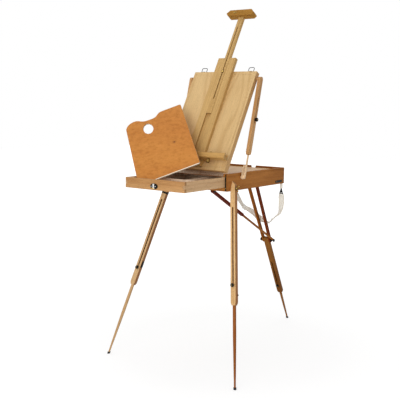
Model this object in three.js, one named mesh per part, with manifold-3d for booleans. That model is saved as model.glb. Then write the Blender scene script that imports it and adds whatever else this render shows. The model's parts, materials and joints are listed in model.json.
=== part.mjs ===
// Sketch-box easel: a shallow wooden box on three folding, telescoping legs. A drawer slides out towards
// the painter, the lid leans back as the canvas rest, and a slotted mast runs in a dovetailed guide on it.
//
// Millimetres. +X is the painter's right, +Y points away from the painter, +Z is up. While it is built, the
// easel stands on z = 0 with the front face of its box on y = 0. At the end the whole group is moved so that
// the middle of its footprint is the origin.
//
// Each moving assembly is a group whose userData.joint names the joint, its axis in the group's own
// coordinates and its travel from the pose shown, in degrees or millimetres.

import * as THREE from 'three';
import { mergeVertices } from 'three/addons/utils/BufferGeometryUtils.js';
import Module from 'manifold-3d';

const wasm = await Module();
wasm.setup();

// ---------------------------------------------------------------- driving dimensions

const seat = 0.3; // gap between pieces that touch
const running = 0.6; // gap beside pieces that slide
const drill = 0.4; // extra radius of a hole round its pin

const box = { width: 342, depth: 478, height: 76, wall: 11, clearance: 782, railLow: 17, railHigh: 13 };
const fingers = { box: 5, drawer: 3 };
const notch = { width: 30, depth: 17 };
const floorPanel = { thickness: 4, recess: 2 };
const shelf = { thickness: 3, below: 12 };
const runner = { width: 12 };

const drawer = { width: 317, length: 400, wall: 9, front: 12, base: 3, out: 282 };
const liner = { skin: 0.9, rim: 6, frontBay: 118, sideBay: 92 };
const pull = { plate: 15, knob: 8.5, reach: 16, drop: 8 };

const lid = { length: 490, depth: 24, rail: 16, panel: 4, open: 61 };
const hinge = { width: 300, knuckle: 2.4, offset: 3.2, leaf: 1, leafHeight: 11, knuckles: 9 };

const guide = { width: 96, from: 10, to: 552, base: 6, lip: 11 };
const mast = { foot: 266, proud: 3, thickness: 12, root: 33, face: 26, slot: 6, slotFrom: 338, slotTo: 720 };
const head = { width: 150, top: 118, height: 29, depth: 36, from: 771, groove: 6 };
const clampAt = 480; // distance of the mast's clamp screw from the hinge edge

const ledge = { width: 366, height: 24, depth: 28, from: 38, wall: 6, trough: 12, cleat: 18, screwAt: 98 };
const ledgeOff = 47.5; // distance of the ledge's back from the underside of the lid

const brace = { width: 23, thickness: 14, length: 330, pinAt: 459, pinDepth: 6, offset: 25 };
const tongue = { width: 8, thickness: 5, top: 182 };
const foot = { y: 106, above: 56, length: 54, thickness: 4.2, standOff: 6 };

const latch = { at: 130, width: 28, height: 22, wire: 1.5 };

const leg = {
  width: 25, depth: 18, length: 502, nose: 11, top: 38, crown: 25, slot: 6.4, screw: 3,
  pivotY: 36.5, pivotUp: 13, standOff: 9, back: -185, spread: 354,
};
const rod = { width: 11.6, depth: 8.4, overlap: 98, tip: 46, taper: 170, foot: 4.4 };
const legCore = { width: rod.width + 2 * running, depth: rod.depth + 2 * running, wall: 4 };
const rear = { inset: 15, pivotDown: 11.8, reach: 386, rail: 8.3, gap: 40, railEnd: 352, coreTop: 325, overlap: 72 };
const rearLeg = { width: 28, depth: 17.5, length: 680 };
const stay = { x: 56, boltX: 35, pivotY: 57, sleeve: 290, width: 13.6, depth: 12.5, bar: 9.4, barDepth: 8, beyond: 13, overlap: 36 };
const bolt = { radius: 2.5, washer: 7.5, head: 8, headHeight: 3.6 };

const palette = { width: 277, height: 382, thickness: 5, corner: 9, heel: 14, shoulder: 34, bay: 25 };
const paletteStand = { left: 103.5, back: 21 }; // where its lower left corner leans in the drawer
const thumb = { across: 103, down: 77, wide: 23, tall: 33, turn: 0.13 };
const strap = { width: 26, thickness: 2.2, drop: 165, lean: 119, ringAt: 155, lowest: 0.05, bowRight: 2, bowLeft: 1.2 };
const ring = { low: 53, height: 26, half: 10.5, wire: 3.8 };

const travel = {
  lid: lid.open, drawer: drawer.out, palette: 480, mastUp: 140, mastDown: 215, ledge: 340,
  frontLeg: 105, rearLeg: 116, rod: 330, rearRod: 150, staySlide: 240, loop: 100,
};

// ---------------------------------------------------------------- finishes

const finishes = {
  beech: { color: 0xcfa56b, roughness: 0.5 },
  beechDark: { color: 0xa9713f, roughness: 0.55 },
  walnut: { color: 0x7a4423, roughness: 0.55 },
  ply: { color: 0xc8792f, roughness: 0.4 },
  zinc: { color: 0xb9b6ad, roughness: 0.4, metalness: 0.9 },
  brass: { color: 0xc9a24a, roughness: 0.3, metalness: 1 },
  steel: { color: 0x8c8c8c, roughness: 0.35, metalness: 1 },
  black: { color: 0x1c1a18, roughness: 0.45 },
  webbing: { color: 0xe9e2d2, roughness: 0.9 },
};

// ---------------------------------------------------------------- helpers

function solid(geometry) {
  const bare = geometry.index ? geometry.toNonIndexed() : geometry.clone();
  bare.deleteAttribute('normal');
  bare.deleteAttribute('uv');
  const merged = mergeVertices(bare, 1e-4);
  return new wasm.Manifold(new wasm.Mesh({
    numProp: 3,
    vertProperties: new Float32Array(merged.attributes.position.array),
    triVerts: new Uint32Array(merged.index.array),
  }));
}

function geometryOf(body) {
  const mesh = body.getMesh();
  const geometry = new THREE.BufferGeometry();
  geometry.setAttribute('position', new THREE.BufferAttribute(new Float32Array(mesh.vertProperties), 3));
  geometry.setIndex(Array.from(mesh.triVerts));
  geometry.computeVertexNormals();
  return geometry;
}

function fuse(first, ...others) {
  return geometryOf(others.reduce((sum, next) => sum.add(solid(next)), solid(first)));
}

function carve(stock, ...cutters) {
  return geometryOf(cutters.reduce((rest, next) => rest.subtract(solid(next)), solid(stock)));
}

function common(first, second) {
  return geometryOf(solid(first).intersect(solid(second)));
}

function block(x0, x1, y0, y1, z0, z1) {
  const geometry = new THREE.BoxGeometry(x1 - x0, y1 - y0, z1 - z0);
  return geometry.translate((x0 + x1) / 2, (y0 + y1) / 2, (z0 + z1) / 2);
}

function outline(points) {
  return new THREE.Shape(points.map(([u, v]) => new THREE.Vector2(u, v)));
}

// A section given as [y, z] and drawn along X, [z, x] along Y, or [x, y] along Z.
function alongX(shape, x0, x1, curveSegments = 12) {
  const geometry = new THREE.ExtrudeGeometry(shape, { depth: x1 - x0, bevelEnabled: false, curveSegments });
  const turn = new THREE.Matrix4().makeBasis(
    new THREE.Vector3(0, 1, 0), new THREE.Vector3(0, 0, 1), new THREE.Vector3(1, 0, 0));
  return geometry.applyMatrix4(turn).translate(x0, 0, 0);
}

function alongY(shape, y0, y1, curveSegments = 12) {
  const geometry = new THREE.ExtrudeGeometry(shape, { depth: y1 - y0, bevelEnabled: false, curveSegments });
  const turn = new THREE.Matrix4().makeBasis(
    new THREE.Vector3(0, 0, 1), new THREE.Vector3(1, 0, 0), new THREE.Vector3(0, 1, 0));
  return geometry.applyMatrix4(turn).translate(0, y0, 0);
}

function alongZ(shape, z0, z1, curveSegments = 12) {
  const geometry = new THREE.ExtrudeGeometry(shape, { depth: z1 - z0, bevelEnabled: false, curveSegments });
  return geometry.translate(0, 0, z0);
}

// A bar between two ends along one axis, turned or drilled.
function pin(axis, radius, from, to, u = 0, v = 0, segments = 16) {
  const geometry = new THREE.CylinderGeometry(radius, radius, to - from, segments);
  const middle = (from + to) / 2;
  if (axis === 'x') return geometry.rotateZ(Math.PI / 2).translate(middle, u, v);
  if (axis === 'y') return geometry.translate(u, middle, v);
  return geometry.rotateX(Math.PI / 2).translate(u, v, middle);
}

// A profile of [radius, height] pairs, turned about Z.
function turned(profile, segments = 20) {
  const points = profile.map(([r, h]) => new THREE.Vector2(r, h));
  return new THREE.LatheGeometry(points, segments).rotateX(Math.PI / 2);
}

// A stadium-shaped slot or bar: two half rounds joined by straight sides, long in its second coordinate.
function stadium(width, v0, v1) {
  const r = width / 2;
  const shape = new THREE.Shape();
  shape.moveTo(r, v0 + r);
  shape.lineTo(r, v1 - r);
  shape.absarc(0, v1 - r, r, 0, Math.PI, false);
  shape.lineTo(-r, v0 + r);
  shape.absarc(0, v0 + r, r, Math.PI, 2 * Math.PI, false);
  return shape;
}

// Frames whose -Z runs down the leg, from a pivot to the point where the foot stands.
function legBasis(axis, down) {
  const z = down.clone().negate();
  const y = new THREE.Vector3().crossVectors(z, axis).normalize();
  return new THREE.Matrix4().makeBasis(axis, y, z);
}

const easel = new THREE.Group();
easel.name = 'easel';

function piece(parent, name, finish, geometry) {
  const mesh = new THREE.Mesh(geometry, new THREE.MeshStandardMaterial(finishes[finish]));
  mesh.name = name;
  parent.add(mesh);
  return mesh;
}

function moving(parent, name, position, joint) {
  const group = new THREE.Group();
  group.name = name;
  group.position.set(...position);
  group.userData.joint = joint;
  parent.add(group);
  return group;
}

// ---------------------------------------------------------------- finger joints


// Slots for the fingers of a mating board: count equal steps over the height, every second one cut.
function fingerSlots(count, z0, z1, offset, makeSlot) {
  const step = (z1 - z0) / count;
  const slots = [];
  for (let i = offset; i < count; i += 2) {
    const low = i === 0 ? z0 - 1 : z0 + i * step - seat / 2;
    const high = i === count - 1 ? z1 + 1 : z0 + (i + 1) * step + seat / 2;
    slots.push(makeSlot(low, high));
  }
  return slots;
}

// ---------------------------------------------------------------- box

const halfBox = box.width / 2;
const inner = halfBox - box.wall;
const boxBottom = box.clearance;
const boxTop = boxBottom + box.height;
const drawerLow = boxBottom + box.railLow + 1;
const drawerHigh = boxTop - box.railHigh - 1;
const wallReach = box.wall + seat;

// A front leg hangs from a screw that is square to the wall. The splayed leg is cut flat where it lies on it.
const frontPivotZ = boxBottom + leg.pivotUp;
const legPivot = (side) => new THREE.Vector3(side * (halfBox + leg.standOff), leg.pivotY, frontPivotZ);
const legRun = (side) => new THREE.Vector3(side * leg.spread, leg.back, 0).sub(legPivot(side));

for (const [side, name] of [[-1, 'left'], [1, 'right']]) {
  const wall = block(inner, halfBox, 0, box.depth, boxBottom, boxTop);
  const step = block(inner - runner.width, inner + 1, box.wall + 4, box.depth - box.wall - seat,
    boxBottom + floorPanel.recess + floorPanel.thickness + seat, drawerLow - seat);
  const slots = fingerSlots(fingers.box, boxBottom, boxTop, 0, (low, high) =>
    block(inner - 1, halfBox + 1, box.depth - wallReach, box.depth + 1, low, high));
  const studHole = pin('x', leg.screw + drill, inner + 3, halfBox + 1, leg.pivotY, frontPivotZ, 16);
  const geometry = carve(fuse(wall, step), ...slots, studHole);
  if (side < 0) mirrorX(geometry);
  piece(easel, `box_wall_${name}`, 'beechDark', geometry);
}

function mirrorX(geometry) {
  geometry.scale(-1, 1, 1);
  const index = geometry.index.array;
  for (let i = 0; i < index.length; i += 3) {
    [index[i + 1], index[i + 2]] = [index[i + 2], index[i + 1]];
  }
  geometry.computeVertexNormals();
  return geometry;
}

function mirrored(geometry) {
  return mirrorX(geometryOf(solid(geometry)));
}

{
  const wall = block(-halfBox, halfBox, box.depth - box.wall, box.depth, boxBottom, boxTop);
  const slots = [-1, 1].flatMap((side) => fingerSlots(fingers.box, boxBottom, boxTop, 1, (low, high) => {
    const edge = side * (inner - seat);
    const out = side * (halfBox + 1);
    return block(Math.min(edge, out), Math.max(edge, out), box.depth - box.wall - 1, box.depth + 1, low, high);
  }));
  const cup = new THREE.Shape();
  const r = notch.width / 2;
  cup.moveTo(boxTop + 1, -r);
  cup.lineTo(boxTop + 1, r);
  cup.lineTo(boxTop - notch.depth + r, r);
  cup.absarc(boxTop - notch.depth + r, 0, r, Math.PI / 2, 1.5 * Math.PI, false);
  const bite = alongY(cup, box.depth - box.wall - 1, box.depth + 1, 10);
  piece(easel, 'box_wall_rear', 'beechDark', carve(wall, ...slots, bite));
}

const railInset = inner - seat;
piece(easel, 'box_rail_low', 'beech',
  block(-railInset, railInset, 0, box.wall, boxBottom, boxBottom + box.railLow));
piece(easel, 'box_rail_high', 'beech',
  block(-railInset, railInset, 0, box.wall, boxTop - box.railHigh, boxTop));
piece(easel, 'box_bottom', 'beech', block(-railInset, railInset, wallReach, box.depth - wallReach,
  boxBottom + floorPanel.recess, boxBottom + floorPanel.recess + floorPanel.thickness));
piece(easel, 'box_shelf', 'beech', block(-railInset, railInset, wallReach, box.depth - wallReach,
  boxTop - shelf.below, boxTop - shelf.below + shelf.thickness));

// ---------------------------------------------------------------- drawer

const drawerGroup = moving(easel, 'drawer', [0, 0, 0],
  { name: 'drawer_slide', type: 'slide', axis: [0, 1, 0], range: [0, travel.drawer] });
const halfDrawer = drawer.width / 2;
const drawerFront = -drawer.out;
const drawerBack = drawerFront + drawer.length;
const drawerBase = drawerLow + 2;
const drawerInner = halfDrawer - drawer.wall;
const pullHeight = (drawerLow + drawerHigh) / 2 - pull.drop;
{
  const cornerSlots = (offset, y0, y1, x0, x1) => [-1, 1].flatMap((side) =>
    fingerSlots(fingers.drawer, drawerLow, drawerHigh, offset, (low, high) =>
      block(Math.min(side * x0, side * x1), Math.max(side * x0, side * x1), y0, y1, low, high)));
  const front = block(-halfDrawer, halfDrawer, drawerFront, drawerFront + drawer.front, drawerLow, drawerHigh);
  const groove = (y0, y1) => block(-drawerInner - 4, drawerInner + 4, y0, y1,
    drawerBase - seat, drawerBase + drawer.base + seat);
  piece(drawerGroup, 'drawer_front', 'beech', carve(front,
    ...cornerSlots(1, drawerFront - 1, drawerFront + drawer.front + 1, drawerInner - seat, halfDrawer + 1),
    groove(drawerFront + drawer.front - 4, drawerFront + drawer.front + 1),
    pin('y', 3 + drill, drawerFront - 1, drawerFront + drawer.front + 1, 0, pullHeight)));
  const back = block(-halfDrawer, halfDrawer, drawerBack - drawer.wall, drawerBack, drawerLow, drawerHigh - 6);
  piece(drawerGroup, 'drawer_back', 'beech', carve(back,
    ...cornerSlots(1, drawerBack - drawer.wall - 1, drawerBack + 1, drawerInner - seat, halfDrawer + 1),
    groove(drawerBack - drawer.wall - 1, drawerBack - drawer.wall + 4)));
  for (const [side, name] of [[-1, 'left'], [1, 'right']]) {
    const board = block(drawerInner, halfDrawer, drawerFront, drawerBack, drawerLow, drawerHigh);
    const slots = (y0, y1) => fingerSlots(fingers.drawer, drawerLow, drawerHigh, 0, (low, high) =>
      block(drawerInner - 1, halfDrawer + 1, y0, y1, low, high));
    const sideGroove = block(drawerInner - 1, drawerInner + 4, drawerFront - 1, drawerBack + 1,
      drawerBase - seat, drawerBase + drawer.base + seat);
    const geometry = carve(board, sideGroove,
      ...slots(drawerFront - 1, drawerFront + drawer.front + seat),
      ...slots(drawerBack - drawer.wall - seat, drawerBack + 1));
    piece(drawerGroup, `drawer_side_${name}`, 'beech', side < 0 ? mirrorX(geometry) : geometry);
  }
  piece(drawerGroup, 'drawer_bottom', 'beech', block(-drawerInner - 3, drawerInner + 3,
    drawerFront + drawer.front - 3, drawerBack - drawer.wall + 3, drawerBase, drawerBase + drawer.base));
}

// The zinc tray fills the drawer and is folded into one wide bay in front and two bays behind it.
const trayFloor = drawerBase + drawer.base + seat;
{
  const x = drawerInner - seat;
  const y0 = drawerFront + drawer.front + seat;
  const y1 = drawerBack - drawer.wall - seat;
  const top = drawerHigh - liner.rim;
  const tray = block(-x, x, y0, y1, trayFloor, top);
  const t = liner.skin;
  const split = y0 + liner.frontBay;
  const bays = [
    [-x + t, x - t, y0 + t, split],
    [-x + t, x - liner.sideBay - t, split + t, y1 - t],
    [x - liner.sideBay, x - t, split + t, y1 - t],
  ];
  const pockets = bays.map(([a, b, c, d]) => block(a, b, c, d, trayFloor + t, top + 1));
  piece(drawerGroup, 'drawer_liner', 'zinc', carve(tray, ...pockets));
}

piece(drawerGroup, 'drawer_pull', 'brass', turned([
  [0, -pull.reach], [pull.knob * 0.7, -pull.reach], [pull.knob, -pull.reach + 3], [pull.knob, -pull.reach + 7],
  [4, -7], [4, -3.5], [pull.plate, -3], [pull.plate, -seat], [3, -seat], [3, drawer.front - 2],
  [0, drawer.front - 2],
], 20).rotateX(-Math.PI / 2).translate(0, drawerFront, pullHeight));

// ---------------------------------------------------------------- lid

const lidGroup = moving(easel, 'lid', [0, -hinge.offset, boxTop + seat],
  { name: 'lid_hinge', type: 'hinge', axis: [-1, 0, 0], range: [0, travel.lid] });
lidGroup.rotation.x = THREE.MathUtils.degToRad(lid.open);

// Inside the lid, Y runs from the hinge edge to the top edge and Z from the rims to the face.
const lidFrame = new THREE.Group();
lidFrame.position.set(0, hinge.offset, 0);
lidGroup.add(lidFrame);

for (const [side, name] of [[-1, 'left'], [1, 'right']]) {
  const strip = block(inner, halfBox, 0, lid.length, seat, lid.depth);
  const pinHole = pin('x', 2.5 + drill, inner + 3, halfBox + 1, brace.pinAt, brace.pinDepth, 12);
  const geometry = carve(strip, pinHole);
  piece(lidFrame, `lid_rim_${name}`, 'beech', side < 0 ? mirrorX(geometry) : geometry);
}
piece(lidFrame, 'lid_rail_low', 'beech', block(-railInset, railInset, 0, lid.rail, seat, lid.depth));
piece(lidFrame, 'lid_rail_top', 'beech', carve(
  block(-railInset, railInset, lid.length - lid.rail, lid.length, seat, lid.depth),
  pin('z', 2 + drill, -1, lid.depth + 1, 0, clampAt, 12)));
piece(lidFrame, 'lid_panel', 'beech', block(-railInset, railInset, lid.rail + seat,
  lid.length - lid.rail - seat, lid.depth - lid.panel, lid.depth));

// Piano hinge: knuckles belong to the box and to the lid in turn.
{
  const pitch = hinge.width / hinge.knuckles;
  const leafTop = hinge.knuckle + seat;
  const half = hinge.width / 2;
  const build = (first) => {
    const parts = [];
    for (let i = first; i < hinge.knuckles; i += 2) {
      const x0 = -half + i * pitch + seat / 2;
      const x1 = -half + (i + 1) * pitch - seat / 2;
      parts.push(pin('x', hinge.knuckle, x0, x1, 0, 0, 12));
      parts.push(block(x0, x1, hinge.offset - hinge.leaf - seat, hinge.offset - seat, -leafTop - 1, 0));
      parts.push(block(x0, x1, hinge.offset - hinge.leaf - seat - 1.2, hinge.offset - seat, -2, 0));
    }
    const leaf = block(-half, half, hinge.offset - hinge.leaf - seat, hinge.offset - seat,
      -hinge.leafHeight, -leafTop);
    return fuse(leaf, ...parts);
  };
  const fixed = build(0);
  piece(easel, 'lid_hinge_box_leaf', 'steel', fixed.translate(0, -hinge.offset, boxTop + seat));
  const lifted = build(1);
  lifted.rotateX(Math.PI).scale(1, -1, 1);
  const index = lifted.index.array;
  for (let i = 0; i < index.length; i += 3) [index[i + 1], index[i + 2]] = [index[i + 2], index[i + 1]];
  lifted.computeVertexNormals();
  piece(lidGroup, 'lid_hinge_lid_leaf', 'steel', lifted);
}

// Draw latches: a plate on the lid's top edge and a wire loop that swings over it.
for (const [side, name] of [[-1, 'left'], [1, 'right']]) {
  const edge = lid.length;
  const middle = lid.depth / 2;
  const x = side * latch.at;
  const plate = fuse(
    block(x - 15, x + 15, edge + seat, edge + 1.6, middle - 7, middle + 7),
    block(x - 8, x + 8, edge + 1, edge + 7.4, middle - 3, middle + 3));
  piece(lidFrame, `latch_plate_${name}`, 'steel',
    carve(plate, pin('x', latch.wire + drill, x - 9, x + 9, edge + 4.6, middle, 10)));
  const loopGroup = moving(lidFrame, `latch_loop_${name}_pivot`, [x, edge + 4.6, middle],
    { name: `latch_${name}`, type: 'hinge', axis: [-1, 0, 0], range: [0, travel.loop] });
  const r = 7;
  const w = latch.width / 2;
  const path = new THREE.CurvePath();
  const v = (a, b) => new THREE.Vector3(a, b, 0);
  const corners = [v(0, 0), v(-w, 0), v(-w, latch.height), v(w, latch.height), v(w, 0), v(0, 0)];
  path.add(new THREE.LineCurve3(corners[0], v(-w + r / 2, 0)));
  path.add(new THREE.QuadraticBezierCurve3(v(-w + r / 2, 0), corners[1], v(-w, r / 2)));
  path.add(new THREE.LineCurve3(v(-w, r / 2), v(-w, latch.height - r)));
  path.add(new THREE.QuadraticBezierCurve3(v(-w, latch.height - r), corners[2], v(-w + r, latch.height)));
  path.add(new THREE.LineCurve3(v(-w + r, latch.height), v(w - r, latch.height)));
  path.add(new THREE.QuadraticBezierCurve3(v(w - r, latch.height), corners[3], v(w, latch.height - r)));
  path.add(new THREE.LineCurve3(v(w, latch.height - r), v(w, r / 2)));
  path.add(new THREE.QuadraticBezierCurve3(v(w, r / 2), corners[4], v(w - r / 2, 0)));
  path.add(new THREE.LineCurve3(v(w - r / 2, 0), v(0.6, 0)));
  const wire = new THREE.Shape();
  wire.absarc(0, 0, latch.wire, 0, 2 * Math.PI, false);
  piece(loopGroup, `latch_loop_${name}`, 'steel',
    new THREE.ExtrudeGeometry(wire, { extrudePath: path, steps: 48, curveSegments: 4 }));
}

// ---------------------------------------------------------------- mast guide, mast and head

const guideBase = lid.depth + seat;
const channelFloor = guideBase + guide.base;
{
  const w = guide.width / 2;
  const root = mast.root / 2 + running;
  const mouth = mast.root / 2 + (mast.face - mast.root) / 2 * (guide.lip / mast.thickness) + running;
  const top = channelFloor + guide.lip;
  const section = outline([
    [guideBase, -w], [guideBase, w], [top, w], [top, mouth], [channelFloor, root],
    [channelFloor, -root], [top, -mouth], [top, -w],
  ]);
  piece(lidFrame, 'mast_guide', 'beech', carve(alongY(section, guide.from, guide.to),
    pin('z', 2 + drill, guideBase - 1, channelFloor + 1, 0, clampAt, 12)));
}

const mastGroup = moving(lidFrame, 'mast_carriage', [0, 0, 0],
  { name: 'mast_slide', type: 'slide', axis: [0, -1, 0], range: [-travel.mastUp, travel.mastDown] });
const mastLow = channelFloor + seat;
const mastHigh = mastLow + mast.thickness;
{
  const a = mast.root / 2;
  const b = mast.face / 2;
  const section = outline([[mastLow, -a], [mastLow, a], [mastHigh, b], [mastHigh, -b]]);
  const slot = alongZ(stadium(mast.slot, mast.slotFrom, mast.slotTo), mastLow - 1, mastHigh + 1, 6);
  piece(mastGroup, 'mast', 'beech', carve(alongY(section, mast.foot, head.from + head.height + mast.proud), slot));

  const half = head.width / 2;
  const crown = head.top / 2;
  const end = head.from + head.height;
  const face = outline([
    [-half + 10, head.from], [half - 10, head.from], [half, head.from + head.height * 0.42],
    [crown, end], [-crown, end], [-half, head.from + head.height * 0.42],
  ]);
  const z0 = lid.depth + 1;
  const bar = alongZ(face, z0, z0 + head.depth);
  const mortise = alongY(outline([
    [mastLow - seat, -a - seat], [mastLow - seat, a + seat],
    [mastHigh + seat, b + seat], [mastHigh + seat, -b - seat],
  ]), head.from - 1, end + 1);
  const gz = z0 + head.depth - 10;
  const groove = alongX(outline([
    [head.from - 1, gz - head.groove / 2 - 0.6], [head.from - 1, gz + head.groove / 2 + 0.6],
    [head.from + 5, gz],
  ]), -half - 1, half + 1);
  piece(mastGroup, 'mast_head', 'beech', carve(bar, mortise, groove));
}

// The clamp screw runs from a washer on the mast through guide and rail to a knob under the lid.
{
  const screw = moving(lidFrame, 'mast_clamp', [0, clampAt, 0],
    { name: 'mast_clamp_turn', type: 'hinge', axis: [0, 0, 1], continuous: true });
  const washer = mastHigh + seat;
  piece(screw, 'mast_clamp_screw', 'black', turned([
    [0, -14.5], [9, -14.5], [12.5, -11], [12.5, -3], [10, 0], [2, 0], [2, washer],
    [6.5, washer], [6.5, washer + 1.2], [3.6, washer + 1.2], [3.2, washer + 3.2], [0, washer + 3.8],
  ], 20));
}

// ---------------------------------------------------------------- canvas ledge

const ledgeGroup = moving(lidFrame, 'ledge_carriage', [0, 0, 0],
  { name: 'ledge_slide', type: 'slide', axis: [0, 1, 0], range: [0, travel.ledge] });
{
  const half = ledge.width / 2;
  const y0 = ledge.from;
  const y1 = ledge.from + ledge.height;
  const z0 = ledgeOff;
  const z1 = ledgeOff + ledge.depth;
  const w = ledge.wall;
  const floor = y1 - ledge.trough;
  const section = outline([
    [y0, z0], [y0, z1 - 3], [y0 + 3, z1], [y1 - 2, z1], [y1, z1 - 2], [y1, z1 - w],
    [floor, z1 - w], [floor, z0 + w], [y1, z0 + w], [y1, z0],
  ]);
  const cleats = [-1, 1].map((side) => {
    const x0 = side * (guide.width / 2 + running);
    const x1 = side * (guide.width / 2 + running + ledge.cleat);
    return block(Math.min(x0, x1), Math.max(x0, x1), y0, y1, lid.depth + running, z0 + 1);
  });
  const holes = [-1, 1].map((side) =>
    pin('y', 2 + drill, y0 - 1, y1 + 1, side * ledge.screwAt, (z0 + z1) / 2, 12));
  piece(ledgeGroup, 'ledge', 'beech', carve(fuse(alongX(section, -half, half), ...cleats), ...holes));
  for (const [side, name] of [[-1, 'left'], [1, 'right']]) {
    const screw = moving(ledgeGroup, `ledge_screw_${name}_pivot`, [side * ledge.screwAt, y0, (z0 + z1) / 2],
      { name: `ledge_screw_${name}_turn`, type: 'hinge', axis: [0, 1, 0], continuous: true });
    piece(screw, `ledge_screw_${name}`, 'black', turned([
      [0, -20], [6, -20], [8.5, -17], [8.5, -7], [5, -3], [5, -seat], [2, -seat],
      [2, ledge.height + 9], [0, ledge.height + 10],
    ], 16).rotateX(-Math.PI / 2));
  }
}

// ---------------------------------------------------------------- lid braces

// A slotted bar hangs from the lid's rim and a tongue slides in it, down to a foot on the box wall.
const lidAngle = THREE.MathUtils.degToRad(lid.open);
const bracePin = new THREE.Vector3(
  0,
  -hinge.offset + (brace.pinAt + hinge.offset) * Math.cos(lidAngle) - brace.pinDepth * Math.sin(lidAngle),
  boxTop + seat + (brace.pinAt + hinge.offset) * Math.sin(lidAngle) + brace.pinDepth * Math.cos(lidAngle));
const footPoint = new THREE.Vector3(0, foot.y, boxBottom + foot.above);
const braceRun = footPoint.clone().sub(bracePin);
const braceReach = braceRun.length();
const braceAngle = Math.atan2(braceRun.y, -braceRun.z);
const closedPin = [brace.pinAt, boxTop + seat + brace.pinDepth];
const closedReach = Math.hypot(closedPin[0] - foot.y, closedPin[1] - footPoint.z);
const closedAngle = Math.atan2(foot.y - closedPin[0], closedPin[1] - footPoint.z);
const braceTurn = closedAngle - (braceAngle - lidAngle);
const braceShift = braceReach - closedReach;

for (const [side, name] of [[-1, 'left'], [1, 'right']]) {
  const mirror = (geometry) => (side < 0 ? mirrored(geometry) : geometry);
  const barGroup = moving(lidFrame, `brace_${name}_bar_pivot`,
    [side * halfBox, brace.pinAt, brace.pinDepth],
    { name: `brace_${name}_swing`, type: 'hinge', axis: [1, 0, 0], follows: 'lid_hinge',
      range: [0, THREE.MathUtils.radToDeg(braceTurn)], by: travel.lid });
  barGroup.rotation.x = braceAngle - lidAngle;

  // Along the brace, Z runs from the pin down to the foot; X is measured outwards from the wall.
  const x0 = brace.offset - brace.thickness;
  const x1 = brace.offset;
  const w = brace.width / 2;
  const t = tongue.thickness / 2 + seat;
  const xm = (x0 + x1) / 2;
  const bar = alongX(stadium(brace.width, -w - brace.length, w), x0, x1, 8);
  const channel = block(xm - t, xm + t, -tongue.width / 2 - seat, tongue.width / 2 + seat,
    -brace.length - w - 1, -78);
  const slot = alongX(stadium(5.2, -tongue.top - 18, -tongue.top + braceShift + 18), xm, x1 + 1, 6);
  const slotted = carve(bar, channel, slot);
  const bolt = fuse(
    pin('x', 2.5, -box.wall + 4, x0 + 1, 0, 0, 12),
    pin('x', 5.5, seat, x0 + 1, 0, 0, 12));
  piece(barGroup, `brace_${name}_bar`, 'beech', mirror(fuse(slotted, bolt)));

  const strutGroup = moving(barGroup, `brace_${name}_strut_slide`, [0, 0, 0],
    { name: `brace_${name}_slide`, type: 'slide', axis: [0, 0, 1], follows: 'lid_hinge',
      range: [0, braceShift], by: travel.lid });
  const tip = -braceReach;
  const end = foot.standOff + foot.thickness;
  const strut = fuse(
    block(xm - tongue.thickness / 2, xm + tongue.thickness / 2, -tongue.width / 2, tongue.width / 2,
      tip - 6, -tongue.top + 8),
    alongX(stadium(brace.width - 4, tip - 9, tip + foot.length), foot.standOff, end, 8),
    pin('x', 6, seat, foot.standOff + 1, 0, tip, 16),
    block(end - 1, xm, -tongue.width / 2, tongue.width / 2, tip - 6, tip + 9));
  const bore = pin('x', 2.4 + drill, xm - 4, xm + 4, 0, -tongue.top, 12);
  piece(strutGroup, `brace_${name}_strut`, 'beech', mirror(carve(strut, bore)));

  const knobGroup = moving(strutGroup, `brace_${name}_knob_pivot`, [0, 0, -tongue.top],
    { name: `brace_${name}_knob_turn`, type: 'hinge', axis: [1, 0, 0], continuous: true });
  const knob = turned([
    [0, xm - 2], [2.2, xm - 2], [2.2, x1 + seat], [7, x1 + seat], [9, x1 + 3], [9, x1 + 10],
    [6, x1 + 13], [0, x1 + 13],
  ], 16).rotateY(Math.PI / 2);
  piece(knobGroup, `brace_${name}_knob`, 'black', mirror(knob));
}

// ---------------------------------------------------------------- legs

// The foot of a rod: tapered wood, then a black ferrule, sawn off level with the ground.
function makeRod(top, reach, toWorld) {
  const straight = block(-rod.width / 2, rod.width / 2, -rod.depth / 2, rod.depth / 2,
    -reach + rod.tip + rod.taper, top);
  const cone = new THREE.CylinderGeometry(rod.width / Math.SQRT2, rod.foot * 1.2, rod.taper + 1, 4);
  cone.rotateY(Math.PI / 4).rotateX(Math.PI / 2).scale(1, rod.depth / rod.width, 1);
  cone.translate(0, 0, -reach + rod.tip + (rod.taper + 1) / 2);
  const ferrule = new THREE.CylinderGeometry(rod.foot, rod.foot - 0.6, rod.tip + 26, 16).rotateX(Math.PI / 2);
  ferrule.translate(0, 0, -reach + (rod.tip - 14) / 2);
  const ground = block(-1000, 1000, -1000, 1000, -120, 0);
  ground.applyMatrix4(toWorld.clone().invert());
  return carve(fuse(straight, cone, ferrule), ground);
}

// A knob whose screw passes through a slotted face at y = face (towards -Y) into the rod behind it.
function makeKnob(face, grip) {
  return turned([
    [0, -grip], [2.2, -grip], [2.2, seat], [6, seat], [7.5, 3], [7.5, 9], [5.5, 12], [0, 12],
  ], 16).rotateX(Math.PI / 2).translate(0, face, 0);
}

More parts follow.
